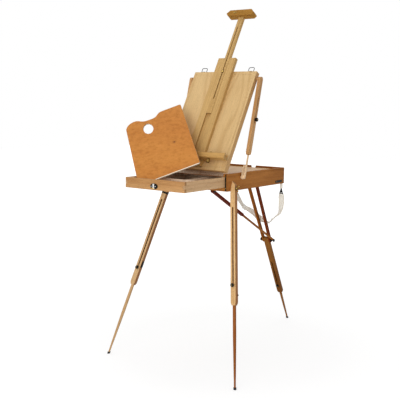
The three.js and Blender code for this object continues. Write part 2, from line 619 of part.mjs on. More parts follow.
// A hollow square leg, open at its tapered lower end, with a slot in its front face for the rod's clamp.
// Its top is cut down by crown towards +X.
function hollowLeg(width, depth, top, crown, length, core, slotTop, slotEnd) {
  const w = width / 2;
  const d = depth / 2;
  const nose = -length + leg.nose;
  const front = outline([
    [top, -w], [top, -w + width / 5], [top - crown, w], [nose, w], [-length, w - leg.nose / 3],
    [-length, -w + leg.nose / 3], [nose, -w],
  ]);
  const edge = outline([[-d, nose], [-d + 2, -length], [d - 2, -length], [d, nose], [d, top], [-d, top]]);
  const body = common(alongY(front, -d - 1, d + 1), alongX(edge, -w - 1, w + 1));
  const bore = block(-core.width / 2, core.width / 2, d - core.wall - core.depth,
    d - core.wall, -length - 1, -core.from);
  const slot = swapXY(alongX(stadium(leg.slot, -slotEnd, -slotTop), d - core.wall - 1.5, depth, 6));
  return carve(body, bore, slot);
}

// Turns a cutter drawn through +X so that it cuts through -Y.
function swapXY(geometry) {
  return geometry.rotateZ(-Math.PI / 2);
}

for (const [side, name] of [[-1, 'left'], [1, 'right']]) {
  const pivot = legPivot(side);
  const down = legRun(side);
  const reach = down.length();
  down.normalize();
  const axis = new THREE.Vector3(-down.z, 0, down.x).normalize();
  const group = moving(easel, `front_leg_${name}_pivot`, [...pivot],
    { name: `front_leg_${name}_fold`, type: 'hinge', axis: [1, 0, 0], range: [0, travel.frontLeg] });
  const frame = new THREE.Group();
  frame.quaternion.setFromRotationMatrix(legBasis(axis, down));
  group.add(frame);
  frame.updateWorldMatrix(true, false);
  const fromWorld = frame.matrixWorld.clone().invert();

  const rodTop = leg.length - rod.overlap;
  const knobAt = rodTop + 14;
  const body = hollowLeg(leg.width, leg.depth, leg.top, leg.crown, leg.length,
    { ...legCore, from: rodTop - travel.rod - 6 }, knobAt - travel.rod - 5, knobAt + 5);
  const facing = side < 0 ? mirrored(body) : body;
  const outer = leg.width / 2 / axis.x - 1.6;
  const screwCut = (radius, from, to) => pin('x', radius, Math.min(side * from, side * to),
    Math.max(side * from, side * to), 0, 0, 16).translate(...pivot).applyMatrix4(fromWorld);
  const boxSpace = block(-halfBox - seat, halfBox + seat, -box.depth, box.depth, boxBottom - 100, boxTop + 100);
  piece(frame, `front_leg_${name}`, 'beech', carve(facing, boxSpace.applyMatrix4(fromWorld),
    screwCut(leg.screw + drill, -leg.width, leg.width), screwCut(8.4, outer, leg.width)));

  const screw = moving(easel, `front_leg_${name}_screw_pivot`, [...pivot],
    { name: `front_leg_${name}_screw_turn`, type: 'hinge', axis: [1, 0, 0], continuous: true });
  const tip = -leg.standOff - box.wall + 4;
  const shaft = turned([
    [0, tip], [leg.screw, tip], [leg.screw, outer + seat], [7.5, outer + seat], [7.5, outer + 2],
    [4.6, outer + 2.4], [4, outer + 9], [0, outer + 9],
  ], 16);
  const wings = [-1, 1].map((s) => {
    const h = outer;
    const wing = outline([[2 * s, h + 3], [8 * s, h + 6], [14.5 * s, h + 15], [10 * s, h + 16], [2 * s, h + 8]]);
    return alongX(wing, -1.3, 1.3);
  });
  const nut = fuse(shaft, ...wings).rotateY(Math.PI / 2);
  piece(screw, `front_leg_${name}_screw`, 'brass', side < 0 ? mirrored(nut) : nut);

  const slide = moving(frame, `front_leg_${name}_rod_slide`, [0, 0, 0],
    { name: `front_leg_${name}_extend`, type: 'slide', axis: [0, 0, 1], range: [0, travel.rod] });
  slide.updateMatrixWorld(true);
  const shift = leg.depth / 2 - legCore.wall - legCore.depth / 2;
  const rodGeometry = makeRod(-rodTop, reach, slide.matrixWorld.clone()
    .multiply(new THREE.Matrix4().makeTranslation(0, shift, 0)));
  const bore = pin('y', 2.2 + drill, -rod.depth, rod.depth, 0, -knobAt, 12);
  piece(slide, `front_leg_${name}_rod`, 'beech', carve(rodGeometry, bore).translate(0, shift, 0));
  const knob = moving(slide, `front_leg_${name}_knob_pivot`, [0, 0, -knobAt],
    { name: `front_leg_${name}_knob_turn`, type: 'hinge', axis: [0, 1, 0], continuous: true });
  piece(knob, `front_leg_${name}_knob`, 'black', makeKnob(-leg.depth / 2, leg.depth / 2 - 1));
}

// ---------------------------------------------------------------- rear leg

const rearPivotZ = boxBottom - rear.pivotDown;
const rearPivotY = box.depth - rear.inset;
{
  const down = new THREE.Vector3(0, rear.reach, -rearPivotZ);
  const reach = down.length();
  down.normalize();
  const basis = legBasis(new THREE.Vector3(1, 0, 0), down);
  const group = moving(easel, 'rear_leg_pivot', [0, rearPivotY, rearPivotZ],
    { name: 'rear_leg_fold', type: 'hinge', axis: [-1, 0, 0], range: [0, travel.rearLeg] });
  group.quaternion.setFromRotationMatrix(basis);
  group.updateMatrixWorld(true);

  const x0 = rear.gap / 2;
  const x1 = x0 + rear.rail;
  const d = rearLeg.depth / 2;
  const boltAt = (rear.railEnd + rear.coreTop) / 2;
  // The rails lean inwards, from the bracket's width at the top to the core's width at the bolt.
  const lean = Math.atan((x0 - rearLeg.width / 2 - seat) / rear.railEnd);
  for (const [side, name] of [[-1, 'left'], [1, 'right']]) {
    const rail = alongX(stadium(rearLeg.depth, -rear.railEnd, d), side < 0 ? -x1 : x0, side < 0 ? -x0 : x1, 10);
    piece(group, `rear_leg_rail_${name}`, 'walnut', carve(rail.rotateY(side * lean),
      pin('x', 3 + drill, -x1 - 1, x1 + 1, 0, 0, 16),
      pin('x', bolt.radius + drill, -x1 - 1, x1 + 1, 0, -boltAt, 12)));
  }

  const rodTop = rearLeg.length - rear.overlap;
  const knobAt = rodTop + 22;
  const core = hollowLeg(rearLeg.width, rearLeg.depth, -rear.coreTop, 0, rearLeg.length,
    { ...legCore, from: rodTop - travel.rearRod - 6 }, knobAt - travel.rearRod - 5, knobAt + 5);
  piece(group, 'rear_leg_core', 'beechDark',
    carve(core, pin('x', bolt.radius + drill, -x1, x1, 0, -boltAt, 12)));

  const clamp = moving(group, 'rear_leg_clamp_pivot', [0, 0, -boltAt],
    { name: 'rear_leg_clamp_turn', type: 'hinge', axis: [1, 0, 0], continuous: true });
  // A washer spaces the stay from the right rail; the knob is on the left.
  const railOut = x1 - Math.tan(lean) * boltAt + 0.6;
  const stayIn = stay.boltX - stay.bar / 2 - running;
  const stayOut = stay.boltX + stay.bar / 2 + running;
  piece(clamp, 'rear_leg_clamp', 'black', turned([
    [0, -railOut - 13], [6.5, -railOut - 13], [9, -railOut - 10], [9, -railOut - 3], [6.5, -railOut],
    [bolt.radius, -railOut], [bolt.radius, railOut], [bolt.washer, railOut], [bolt.washer, stayIn],
    [bolt.radius, stayIn], [bolt.radius, stayOut], [bolt.head, stayOut],
    [bolt.head - 1, stayOut + bolt.headHeight], [0, stayOut + bolt.headHeight],
  ], 16).rotateY(Math.PI / 2));

  const slide = moving(group, 'rear_leg_rod_slide', [0, 0, 0],
    { name: 'rear_leg_extend', type: 'slide', axis: [0, 0, 1], range: [0, travel.rearRod] });
  slide.updateMatrixWorld(true);
  const shift = rearLeg.depth / 2 - legCore.wall - legCore.depth / 2;
  const rodGeometry = makeRod(-rodTop, reach, slide.matrixWorld.clone()
    .multiply(new THREE.Matrix4().makeTranslation(0, shift, 0)));
  piece(slide, 'rear_leg_rod', 'beechDark', carve(rodGeometry,
    pin('y', 2.2 + drill, -rod.depth, rod.depth, 0, -knobAt, 12)).translate(0, shift, 0));
  const knob = moving(slide, 'rear_leg_knob_pivot', [0, 0, -knobAt],
    { name: 'rear_leg_knob_turn', type: 'hinge', axis: [0, 1, 0], continuous: true });
  piece(knob, 'rear_leg_knob', 'black', makeKnob(-rearLeg.depth / 2, rearLeg.depth / 2 - 1));

  // A plate under the box has an ear inside each rail, with a short pivot pin that ends in a rivet head.
  const top = boxBottom - seat;
  const ears = [-1, 1].flatMap((s) => {
    const across = (near, far) => [Math.min(s * near, s * far), Math.max(s * near, s * far)];
    const ear = alongX(outline([
      [rearPivotY - 13, top], [rearPivotY + 13, top], [rearPivotY + 8, rearPivotZ - 8],
      [rearPivotY - 8, rearPivotZ - 8],
    ]), ...across(x0 - running - 3, x0 - running));
    return [ear, pin('x', 3, ...across(x0 - 2, x1 + 1), rearPivotY, rearPivotZ, 16),
      pin('x', 5.5, ...across(x1 + 0.6, x1 + 1.6), rearPivotY, rearPivotZ, 16)];
  });
  piece(easel, 'rear_leg_bracket', 'black', fuse(
    block(-x1, x1, rearPivotY - 13, box.depth - 0.5, top - 1.1, top), ...ears));
}

// ---------------------------------------------------------------- stay

// A telescoping stay beside the right rail: a sleeve on the box, and a bar notched to sit on the leg's bolt.
// It stands a little outwards, so that the bolt passes it when the leg is folded.
{
  const z = rearPivotZ;
  const boltAt = (rear.railEnd + rear.coreTop) / 2;
  const toBolt = new THREE.Vector3(0, rear.reach, -z).setLength(boltAt)
    .add(new THREE.Vector3(stay.boltX - stay.x, rearPivotY - stay.pivotY, 0));
  const sag = Math.asin(stay.barDepth / 2 / toBolt.length());
  const down = toBolt.clone().applyAxisAngle(new THREE.Vector3(1, 0, 0), sag).normalize();
  const reach = toBolt.length() * Math.cos(sag);
  const level = THREE.MathUtils.radToDeg(Math.atan2(-down.z, down.y));
  const group = moving(easel, 'stay_pivot', [stay.x, stay.pivotY, z],
    { name: 'stay_swing', type: 'hinge', axis: [1, 0, 0], range: [0, level] });
  const frame = new THREE.Group();
  const across = new THREE.Vector3(1, 0, 0).addScaledVector(down, -down.x).normalize();
  frame.quaternion.setFromRotationMatrix(legBasis(across, down));
  group.add(frame);
  const turnBack = frame.quaternion.clone().invert();
  const w = stay.width / 2;
  const d = stay.depth / 2;
  const core = { x: stay.bar / 2 + seat, y: stay.barDepth / 2 + seat };
  const sleeve = carve(
    alongX(stadium(stay.depth, -stay.sleeve - d, d), -w, w, 8),
    block(-core.x, core.x, -core.y, core.y, -stay.sleeve - d - 1, -12),
    block(-2.5, 2.5, 0, d + 1, -stay.sleeve + 10, -24),
    block(-w - 1, w + 1, -d - 1, d + 1, -stay.sleeve - d - 1, -stay.sleeve),
    pin('x', bolt.radius + drill, -w - 3, w + 3, 0, 0, 12).applyQuaternion(turnBack));
  piece(frame, 'stay_sleeve', 'walnut', sleeve);
  const slide = moving(frame, 'stay_bar_slide', [0, 0, 0],
    { name: 'stay_extend', type: 'slide', axis: [0, 0, 1], range: [0, travel.staySlide] });
  const notchDepth = (bolt.radius + drill) * Math.SQRT2;
  const below = stay.barDepth / 2;
  const saddle = alongX(outline([
    [-below - 8, -reach - notchDepth - 8], [-below + notchDepth, -reach], [-below - 8, -reach + notchDepth + 8],
  ]), -w, w);
  piece(slide, 'stay_bar', 'beechDark', carve(
    block(-stay.bar / 2, stay.bar / 2, -below, below, -reach - stay.beyond,
      -stay.sleeve + stay.overlap), saddle));

  const top = boxBottom + floorPanel.recess - seat;
  const a = w + running;
  const ear = (x) => alongX(outline([
    [stay.pivotY - 9, top], [stay.pivotY + 9, top], [stay.pivotY + 5, z - 6], [stay.pivotY - 5, z - 6],
  ]), stay.x + x, stay.x + x + 2.2);
  piece(easel, 'stay_bracket', 'black', fuse(
    block(stay.x - a - 9, stay.x + a + 9, stay.pivotY - 9, stay.pivotY + 9, top - 2, top),
    ear(a), ear(-a - 2.2), pin('x', bolt.radius, stay.x - a - 1, stay.x + a + 1, stay.pivotY, z, 12)));
}

// ---------------------------------------------------------------- palette

{
  const normal = new THREE.Vector3(0.191, -0.712, 0.676).normalize();
  const across = new THREE.Vector3(0.758, 0.544, 0.36);
  across.addScaledVector(normal, -across.dot(normal)).normalize();
  const up = new THREE.Vector3().crossVectors(normal, across);
  const group = moving(drawerGroup, 'palette_lift', 
    [-paletteStand.left, drawerFront + paletteStand.back, trayFloor + liner.skin],
    { name: 'palette_lift', type: 'slide', axis: [0, 0, 1], follows: 'drawer_slide',
      range: [0, travel.palette], by: travel.drawer, frame: 'world' });
  group.quaternion.setFromRotationMatrix(new THREE.Matrix4().makeBasis(across, up, normal));
  const w = palette.width;
  const h = palette.height;
  const c = palette.corner;
  const bay = h - palette.bay;
  const shape = new THREE.Shape();
  shape.moveTo(palette.heel / 2, 0);
  shape.lineTo(w - c, 2);
  shape.quadraticCurveTo(w, 2, w, c + 4);
  shape.lineTo(w - 3, h - c);
  shape.quadraticCurveTo(w - 3, h, w - c - 3, h);
  shape.lineTo(w * 0.66, h);
  shape.bezierCurveTo(w * 0.56, h, w * 0.58, bay, w * 0.48, bay);
  shape.bezierCurveTo(w * 0.36, bay, w * 0.32, bay, w * 0.25, h - 8);
  shape.bezierCurveTo(w * 0.18, h + 6, w * 0.04, h - 4, 4, h - palette.shoulder);
  shape.lineTo(0, palette.heel);
  shape.quadraticCurveTo(0, 0, palette.heel / 2, 0);
  const hole = new THREE.Path();
  hole.absellipse(thumb.across, h - thumb.down, thumb.wide, thumb.tall, 0, 2 * Math.PI, true, thumb.turn);
  shape.holes.push(hole);
  const board = alongZ(shape, -palette.thickness, 0, 6);
  const low = new THREE.Vector3();
  let lowest = Infinity;
  const position = board.attributes.position;
  for (let i = 0; i < position.count; i += 1) {
    low.fromBufferAttribute(position, i).applyQuaternion(group.quaternion);
    lowest = Math.min(lowest, low.z);
  }
  group.position.z += seat - lowest;
  piece(group, 'palette', 'ply', board);
}

// ---------------------------------------------------------------- carrying strap

{
  const ringLow = boxBottom - ring.low;
  const ringHigh = ringLow + ring.height;
  for (const [side, name] of [[-1, 'left'], [1, 'right']]) {
    const x = side * strap.ringAt;
    const y = box.depth + 3.4;
    const across = (points, y0, y1) =>
      alongZ(outline(points), 0, y1 - y0).rotateX(Math.PI / 2).translate(x, y1, 0);
    const plate = block(x - 8, x + 8, box.depth + seat, box.depth + 2, boxBottom + 1, boxBottom + 18);
    const tab = block(x - 3, x + 3, y - 2, y - 0.2, ringHigh - 4, boxBottom + 10);
    const inside = ring.half - 1.8 * ring.wire;
    const triangle = across([
      [-2, ringHigh], [2, ringHigh], [ring.half, ringLow], [-ring.half, ringLow],
    ], y - 1.2, y + 1.8);
    const hole = across([
      [-0.6, ringHigh - 6], [0.6, ringHigh - 6], [inside, ringLow + ring.wire], [-inside, ringLow + ring.wire],
    ], y - 3, y + 3);
    piece(easel, `strap_ring_${name}`, 'black', fuse(plate, tab, carve(triangle, hole)));
  }
  // The webbing hangs between the rings and passes behind the rear leg, a little askew.
  const y = box.depth + 4.4;
  const tilt = Math.atan2(strap.lean, strap.drop);
  const hang = Math.hypot(strap.drop, strap.lean);
  const group = new THREE.Group();
  group.position.set(0, y, ringLow - 1.6);
  group.rotation.x = tilt;
  easel.add(group);
  const bow = (u) => (u > strap.lowest
    ? 1 - ((u - strap.lowest) / (1 - strap.lowest)) ** strap.bowRight
    : 1 - ((strap.lowest - u) / (1 + strap.lowest)) ** strap.bowLeft);
  const points = [];
  for (let i = 0; i <= 12; i += 1) {
    const u = Math.cos(Math.PI * i / 12);
    points.push(new THREE.Vector3(u * strap.ringAt, 0, -bow(u) * hang));
  }
  const section = outline([
    [-strap.width / 2, -strap.thickness / 2], [strap.width / 2, -strap.thickness / 2],
    [strap.width / 2, strap.thickness / 2], [-strap.width / 2, strap.thickness / 2],
  ]);
  piece(group, 'carry_strap', 'webbing', new THREE.ExtrudeGeometry(section,
    { extrudePath: new THREE.CatmullRomCurve3(points), steps: 40, curveSegments: 1 }));
}

// ---------------------------------------------------------------- origin

const whole = new THREE.Box3().setFromObject(easel, true);
easel.position.set(-(whole.min.x + whole.max.x) / 2, -(whole.min.y + whole.max.y) / 2, -whole.min.z);

export default easel;
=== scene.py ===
import json
import math

import bmesh
import bpy
from mathutils import Matrix, Vector


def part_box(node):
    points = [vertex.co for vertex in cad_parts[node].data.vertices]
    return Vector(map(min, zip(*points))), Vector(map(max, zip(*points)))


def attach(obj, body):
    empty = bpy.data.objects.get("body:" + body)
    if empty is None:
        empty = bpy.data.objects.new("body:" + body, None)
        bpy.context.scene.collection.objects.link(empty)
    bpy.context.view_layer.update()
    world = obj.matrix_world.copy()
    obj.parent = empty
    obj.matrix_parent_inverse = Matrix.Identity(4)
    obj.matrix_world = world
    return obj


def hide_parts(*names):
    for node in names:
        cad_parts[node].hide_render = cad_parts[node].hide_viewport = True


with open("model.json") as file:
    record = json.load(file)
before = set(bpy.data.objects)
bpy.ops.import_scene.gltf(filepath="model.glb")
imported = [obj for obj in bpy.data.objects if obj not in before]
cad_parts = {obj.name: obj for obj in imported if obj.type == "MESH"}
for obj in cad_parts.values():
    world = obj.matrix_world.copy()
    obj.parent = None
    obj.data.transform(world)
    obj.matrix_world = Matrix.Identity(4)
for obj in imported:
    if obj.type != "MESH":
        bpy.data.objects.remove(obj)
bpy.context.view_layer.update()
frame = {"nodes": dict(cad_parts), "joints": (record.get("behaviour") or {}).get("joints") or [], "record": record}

MM = 0.001
X, Y, Z = Vector((1, 0, 0)), Vector((0, 1, 0)), Vector((0, 0, 1))
JOINTS = {j["name"]: j for j in frame["joints"]}
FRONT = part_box("box_rail_low")[0][1]  # y of the box's front face
BODY_OF = {n: b for b, names in frame["record"]["behaviour"]["bodies"].items() for n in names}


def points_of(name):
    """The points of a CAD node at rest."""
    return [v.co for v in frame["nodes"][name].data.vertices]


def axis_of(joint):
    """The direction of a joint at rest."""
    return Vector(JOINTS[joint]["axis"]).normalized()


def pivot_of(joint):
    """A point on a joint's axis at rest."""
    return Vector(JOINTS[joint]["pos_m"])


LID_UP = axis_of("ledge_slide")
LID_OUT = X.cross(LID_UP)  # out of the lid's face, towards the painter

# ---------------------------------------------------------------- camera

# Fitted to the photo's edges: the lens, the turns, and the place beside the box's front face.
SENSOR, LENS = 36, 66.94  # millimetres
YAW, PITCH, ROLL = (math.radians(a) for a in (36.665, -7.473, 0.76))
CAMERA_PLACE = (1.96871, FRONT - 2.60937, 1.16088)

camera = bpy.data.objects.new("camera", bpy.data.cameras.new("camera"))
scene = bpy.context.scene
scene.collection.objects.link(camera)
bpy.context.scene.camera = camera
camera.data.sensor_width = SENSOR
camera.data.lens = LENS
camera.data.clip_end = 50
look = Vector((-math.sin(YAW) * math.cos(PITCH), math.cos(YAW) * math.cos(PITCH), math.sin(PITCH)))
side = Vector((math.cos(YAW), math.sin(YAW), 0))
above = side.cross(look)
right = side * math.cos(ROLL) + above * math.sin(ROLL)
up = above * math.cos(ROLL) - side * math.sin(ROLL)
place = Matrix((right, up, -look)).transposed().to_4x4()
place.translation = Vector(CAMERA_PLACE)
camera.matrix_world = place

# ---------------------------------------------------------------- stage and light

scene.view_settings.view_transform = "Standard"

FLOOR_SIZE, FLOOR_DROP = 24, 0.0006  # metres; the floor lies a little below the feet
FLOOR_BOUNCE = 0.8  # the grey that light meets on the floor
FLOOR_MATT = 0.33  # the part of the floor's look that takes the shadow
# The rest glows: its grey level by the distance from the object, in tens of metres.
FLOOR_GLOW = [(0.05, (0.71,) * 3), (0.35, (1.0,) * 3)]
SKY_LEFT, SKY_RIGHT = 0.84, 0.54  # the surround's light at both sides

# Each lamp: its place, the point it faces, its width in metres and its power in watts.
LAMPS = {
    "key": ((0.9, -3.7, 1.8), (0, -0.1, 0.9), 3.0, 40),
    "low front": ((1.4, -3.6, 0.75), (0, -0.2, 0.9), 2.0, 18),
    "top": ((-0.6, 0.4, 4.2), (0, 0, 0.8), 2.4, 16),
}


def node(tree, kind, **values):
    """A node whose inputs and settings take the given values."""
    made = tree.nodes.new(kind)
    for key, value in values.items():
        if key in made.inputs:
            made.inputs[key].default_value = value
        else:
            setattr(made, key, value)
    return made


def value_of(tree, operation, *given, clamp=False):
    """A Math node whose inputs are numbers or sockets."""
    made = node(tree, "ShaderNodeMath", operation=operation, use_clamp=clamp)
    for socket, value in zip(made.inputs, given):
        if isinstance(value, bpy.types.NodeSocket):
            tree.links.new(value, socket)
        else:
            socket.default_value = value
    return made.outputs[0]


def times(tree, a, b):
    return value_of(tree, "MULTIPLY", a, b)


def coordinate(tree, kind):
    """Where a point lies, or its normal, in a space such as Object."""
    return node(tree, "ShaderNodeTexCoord").outputs[kind]


def graded(tree, factor, stops):
    """The colour that a ramp gives a factor; each stop is a position and its colour."""
    made = node(tree, "ShaderNodeValToRGB")
    points = made.color_ramp.elements
    while len(points) < len(stops):
        points.new(0.5)
    for point, (position, color) in zip(points, stops):
        point.position = position
        point.color = (*color, 1)
    tree.links.new(factor, made.inputs[0])
    return made.outputs[0]


def spread(tree, factor, low, high, a=0.0, b=1.0):
    """Maps low..high to a..b, as grey."""
    return graded(tree, factor, [(low, (a,) * 3), (high, (b,) * 3)])


def for_light_and_eye(tree, lighting, seen):
    """One shader for the rays that carry light, and another for those that a camera sees by."""
    path = node(tree, "ShaderNodeLightPath").outputs
    plainly = value_of(tree, "MAXIMUM", path["Is Camera Ray"], path["Is Glossy Ray"])
    mix = node(tree, "ShaderNodeMixShader")
    tree.links.new(value_of(tree, "MAXIMUM", plainly, path["Is Transmission Ray"]), mix.inputs[0])
    tree.links.new(lighting, mix.inputs[1])
    tree.links.new(seen, mix.inputs[2])
    return mix.outputs[0]


def started(name):
    """A new material, its node tree and its shader."""
    material = bpy.data.materials.new(name)
    material.use_nodes = True
    return material, material.node_tree, material.node_tree.nodes["Principled BSDF"]


def make_floor():
    """A white floor that keeps a faint shadow near the object, and runs into the surround."""
    bpy.ops.mesh.primitive_plane_add(size=FLOOR_SIZE, location=(0, 0, -FLOOR_DROP))
    floor = bpy.context.object
    floor.name = "floor"
    material, tree, shader = started("floor")
    shader.inputs["Base Color"].default_value = (*(FLOOR_BOUNCE,) * 3, 1)
    shader.inputs["Roughness"].default_value = 0.95
    shader.inputs["Specular IOR Level"].default_value = 0.0
    far = node(tree, "ShaderNodeVectorMath", operation="LENGTH")
    tree.links.new(coordinate(tree, "Object"), far.inputs[0])
    level = graded(tree, times(tree, far.outputs["Value"], 0.1), FLOOR_GLOW)
    matt = node(tree, "ShaderNodeBsdfDiffuse", Color=(*(FLOOR_MATT,) * 3, 1))
    glow = node(tree, "ShaderNodeEmission", Strength=1.0)
    tree.links.new(level, glow.inputs["Color"])
    seen = node(tree, "ShaderNodeAddShader")
    tree.links.new(matt.outputs[0], seen.inputs[0])
    tree.links.new(glow.outputs[0], seen.inputs[1])
    tree.links.new(for_light_and_eye(tree, shader.outputs[0], seen.outputs[0]),
                   tree.nodes["Material Output"].inputs[0])
    floor.data.materials.append(material)


def make_surround():
    """A surround that looks white, and lights the object a little more from the left."""
    world = bpy.data.worlds.new("studio")
    scene.world = world
    world.use_nodes = True
    tree = world.node_tree
    tree.nodes.clear()
    apart = node(tree, "ShaderNodeSeparateXYZ")
    tree.links.new(coordinate(tree, "Generated"), apart.inputs[0])
    sideways = value_of(tree, "MULTIPLY_ADD", apart.outputs[0], 0.5, 0.5)
    sky = node(tree, "ShaderNodeBackground", Strength=1.0)
    tree.links.new(spread(tree, sideways, 0.1, 0.9, SKY_LEFT, SKY_RIGHT), sky.inputs["Color"])
    white = node(tree, "ShaderNodeBackground", Color=(1, 1, 1, 1), Strength=1.0)
    out = node(tree, "ShaderNodeOutputWorld")
    tree.links.new(for_light_and_eye(tree, sky.outputs[0], white.outputs[0]), out.inputs[0])


def make_lamp(name, place, aim, size, power):
    """A round area lamp that faces a point."""
    data = bpy.data.lights.new(name, "AREA")
    data.shape = "DISK"
    data.size = size
    data.energy = power
    lamp = bpy.data.objects.new(name, data)
    scene.collection.objects.link(lamp)
    lamp.location = place
    lamp.rotation_euler = (Vector(aim) - Vector(place)).to_track_quat("-Z", "Y").to_euler()


make_floor()
make_surround()
for name, given in LAMPS.items():
    make_lamp(name, *given)


# ---------------------------------------------------------------- materials

def tone(r, g, b):
    """A colour written as screen values, in the linear values that a shader takes."""
    return tuple(((c / 255 + 0.055) / 1.055) ** 2.4 if c > 10 else c / 255 / 12.92
                 for c in (r, g, b))


def mixed(tree, a, b, factor, blend="MIX"):
    """Mixes two colours, each a socket or a tuple."""
    made = node(tree, "ShaderNodeMix", data_type="RGBA", blend_type=blend)
    for socket, value in ((made.inputs[0], factor), (made.inputs[6], a), (made.inputs[7], b)):
        if isinstance(value, bpy.types.NodeSocket):
            tree.links.new(value, socket)
        elif isinstance(value, tuple):
            socket.default_value = (*value, 1)
        else:
            socket.default_value = value
    return made.outputs[2]


def grain_space(tree, along, seed):
    """Object coordinates turned so that the grain runs along Z, and shifted for each board."""
    mapping = node(tree, "ShaderNodeMapping")
    turn = Vector(along).rotation_difference(Z).to_euler("XYZ")
    mapping.inputs["Rotation"].default_value = turn
    shift = (seed * 0.37 % 3.1, seed * 0.73 % 2.3, seed * 0.19 % 4.7)
    mapping.inputs["Location"].default_value = shift
    tree.links.new(coordinate(tree, "Object"), mapping.inputs["Vector"])
    return mapping.outputs[0]


def noise(tree, space, scale, detail=2.0, rough=0.5, distortion=0.0):
    """Noise with its own scale, per metre, along each axis of a space."""
    mapping = node(tree, "ShaderNodeMapping")
    mapping.inputs["Scale"].default_value = scale
    tree.links.new(space, mapping.inputs["Vector"])
    made = node(tree, "ShaderNodeTexNoise", Scale=1.0, Detail=detail, Roughness=rough,
                Distortion=distortion)
    tree.links.new(mapping.outputs[0], made.inputs["Vector"])
    return made.outputs[0]


def against(tree, kind, operation, vector):
    """A coordinate measured against a fixed vector, as one number."""
    made = node(tree, "ShaderNodeVectorMath", operation=operation)
    tree.links.new(coordinate(tree, kind), made.inputs[0])
    made.inputs[1].default_value = vector
    return made.outputs["Value"]


def facing(tree, axis):
    """How squarely a face points along an axis of the object, 0 to 1."""
    return value_of(tree, "ABSOLUTE", against(tree, "Normal", "DOT_PRODUCT", axis))


def relief(tree, shader, height, strength, depth=0.0005):
    """Bumps a surface by a height, up to a depth in metres."""
    bump = node(tree, "ShaderNodeBump", Strength=strength, Distance=depth)
    tree.links.new(height, bump.inputs["Height"])
    tree.links.new(bump.outputs[0], shader.inputs["Normal"])


# Scales of noise per metre, across the grain twice and along it.
FIBRES, FLECKS = (520, 520, 10), (640, 640, 85)
DRIFT, STREAKS = (11, 11, 2.2), (85, 85, 2.4)
FIGURE, WIDE_FIGURE, MOTTLE = (5.5, 5.5, 1.5), (9, 9, 3), (62, 62, 48)
FLECK_STOPS = [(0.30, (0.42, 0.30, 0.22)), (0.40, (1, 1, 1))]
MOTTLE_STOPS = [(0.34, (0.86, 0.80, 0.70)), (0.5, (1, 1, 1)), (0.68, (1.08, 1.11, 1.2))]
KNOT = tone(104, 44, 22)
SHINE, DULL = 0.2, 0.03  # the dark boards are dull, or they would mirror the white surround
BOARD_ROUGHNESS, PLY_ROUGHNESS = 0.46, 0.42
BOARD_FLECK = 0.5


def fibres(tree, shader, space, color, fleck, roughness, shine):
    """Fine fibres and short dark flecks over a colour, with the gloss and relief of oiled wood."""
    fine = noise(tree, space, FIBRES, 4.0, 0.7)
    flecks = noise(tree, space, FLECKS, 1.5, 0.6)
    color = mixed(tree, color, spread(tree, fine, 0.36, 0.64, 0.7, 1.12), fleck, "MULTIPLY")
    spots = graded(tree, flecks, FLECK_STOPS)
    color = mixed(tree, color, spots, min(1.0, fleck * 1.3), "MULTIPLY")
    tree.links.new(color, shader.inputs["Base Color"])
    uneven = spread(tree, fine, 0.3, 0.7, roughness + 0.1, roughness - 0.04)
    tree.links.new(uneven, shader.inputs["Roughness"])
    relief(tree, shader, fine, 0.14)
    shader.inputs["Specular IOR Level"].default_value = shine
    shader.inputs["Coat Weight"].default_value = shine * 0.2
    shader.inputs["Coat Roughness"].default_value = 0.35


def wood(name, light, dark, along, seed, shine, shaded_flanks=None):
    """A solid board: broad drift and growth streaks along the grain, and darker end grain.

    Its sides, the faces that look along a second axis, can be darkened by a colour: painted shade.
    """
    material, tree, shader = started(name)
    space = grain_space(tree, along, seed)
    drift = spread(tree, noise(tree, space, DRIFT, 2.0, 0.5, 0.5), 0.36, 0.64)
    streak = spread(tree, noise(tree, space, STREAKS, 3.0, 0.6, 0.4), 0.38, 0.66)
    factor = value_of(tree, "ADD", times(tree, drift, 0.5),
                      times(tree, streak, 0.5))
    color = mixed(tree, light, dark, factor)
    ends = spread(tree, facing(tree, along), 0.8, 0.95, 0.0, 0.38)
    color = mixed(tree, color, tuple(0.5 * c for c in dark), ends)
    # painted shade: darken the sides that look along the given axis
    if shaded_flanks:
        axis, shade_tint = shaded_flanks
        darker = mixed(tree, color, shade_tint, 1.0, "MULTIPLY")
        color = mixed(tree, color, darker, spread(tree, facing(tree, axis), 0.6, 0.8))
    fibres(tree, shader, space, color, BOARD_FLECK, BOARD_ROUGHNESS, shine)
    return material


def plywood(name, light, dark, face, along, seed, edge, glue, plies, thickness, clouds=0.0,
            fleck=0.4, figure=13.0, bare=None, knots=()):
    """Rotary-cut plywood: cathedral figure on the faces, and its plies on the edges."""
    material, tree, shader = started(name)
    space = grain_space(tree, along, seed)
    field = noise(tree, space, FIGURE, 2.0, 0.45, 0.7)
    contour = value_of(tree, "SINE", times(tree, field, 2 * math.pi * figure))
    lines = spread(tree, value_of(tree, "MULTIPLY_ADD", contour, 0.5, 0.5), 0.35, 0.95)
    wide = spread(tree, noise(tree, space, WIDE_FIGURE, 3.0, 0.55), 0.34, 0.68)
    factor = value_of(tree, "ADD", times(tree, lines, 0.5 - 0.3 * clouds),
                      times(tree, wide, 0.5 + 0.3 * clouds), clamp=True)
    color = mixed(tree, light, dark, factor)
    if clouds:
        mottle = graded(tree, noise(tree, space, MOTTLE, 4.0, 0.62), MOTTLE_STOPS)
        color = mixed(tree, color, mottle, clouds, "MULTIPLY")
    through = against(tree, "Object", "DOT_PRODUCT", face * (math.pi * plies / thickness))
    stripe = spread(tree, value_of(tree, "SINE", through), 0.0, 0.5)
    sides = mixed(tree, glue, edge, stripe)
    for at, radius in knots:
        color = knotted(tree, color, at, radius)
    # a pale strip of the edge colour along one straight edge of the face
    if bare:
        color = pale_edge_strip(tree, color, edge, *bare)
    color = mixed(tree, sides, color, spread(tree, facing(tree, face), 0.45, 0.6))
    fibres(tree, shader, space, color, fleck, PLY_ROUGHNESS, SHINE)
    return material


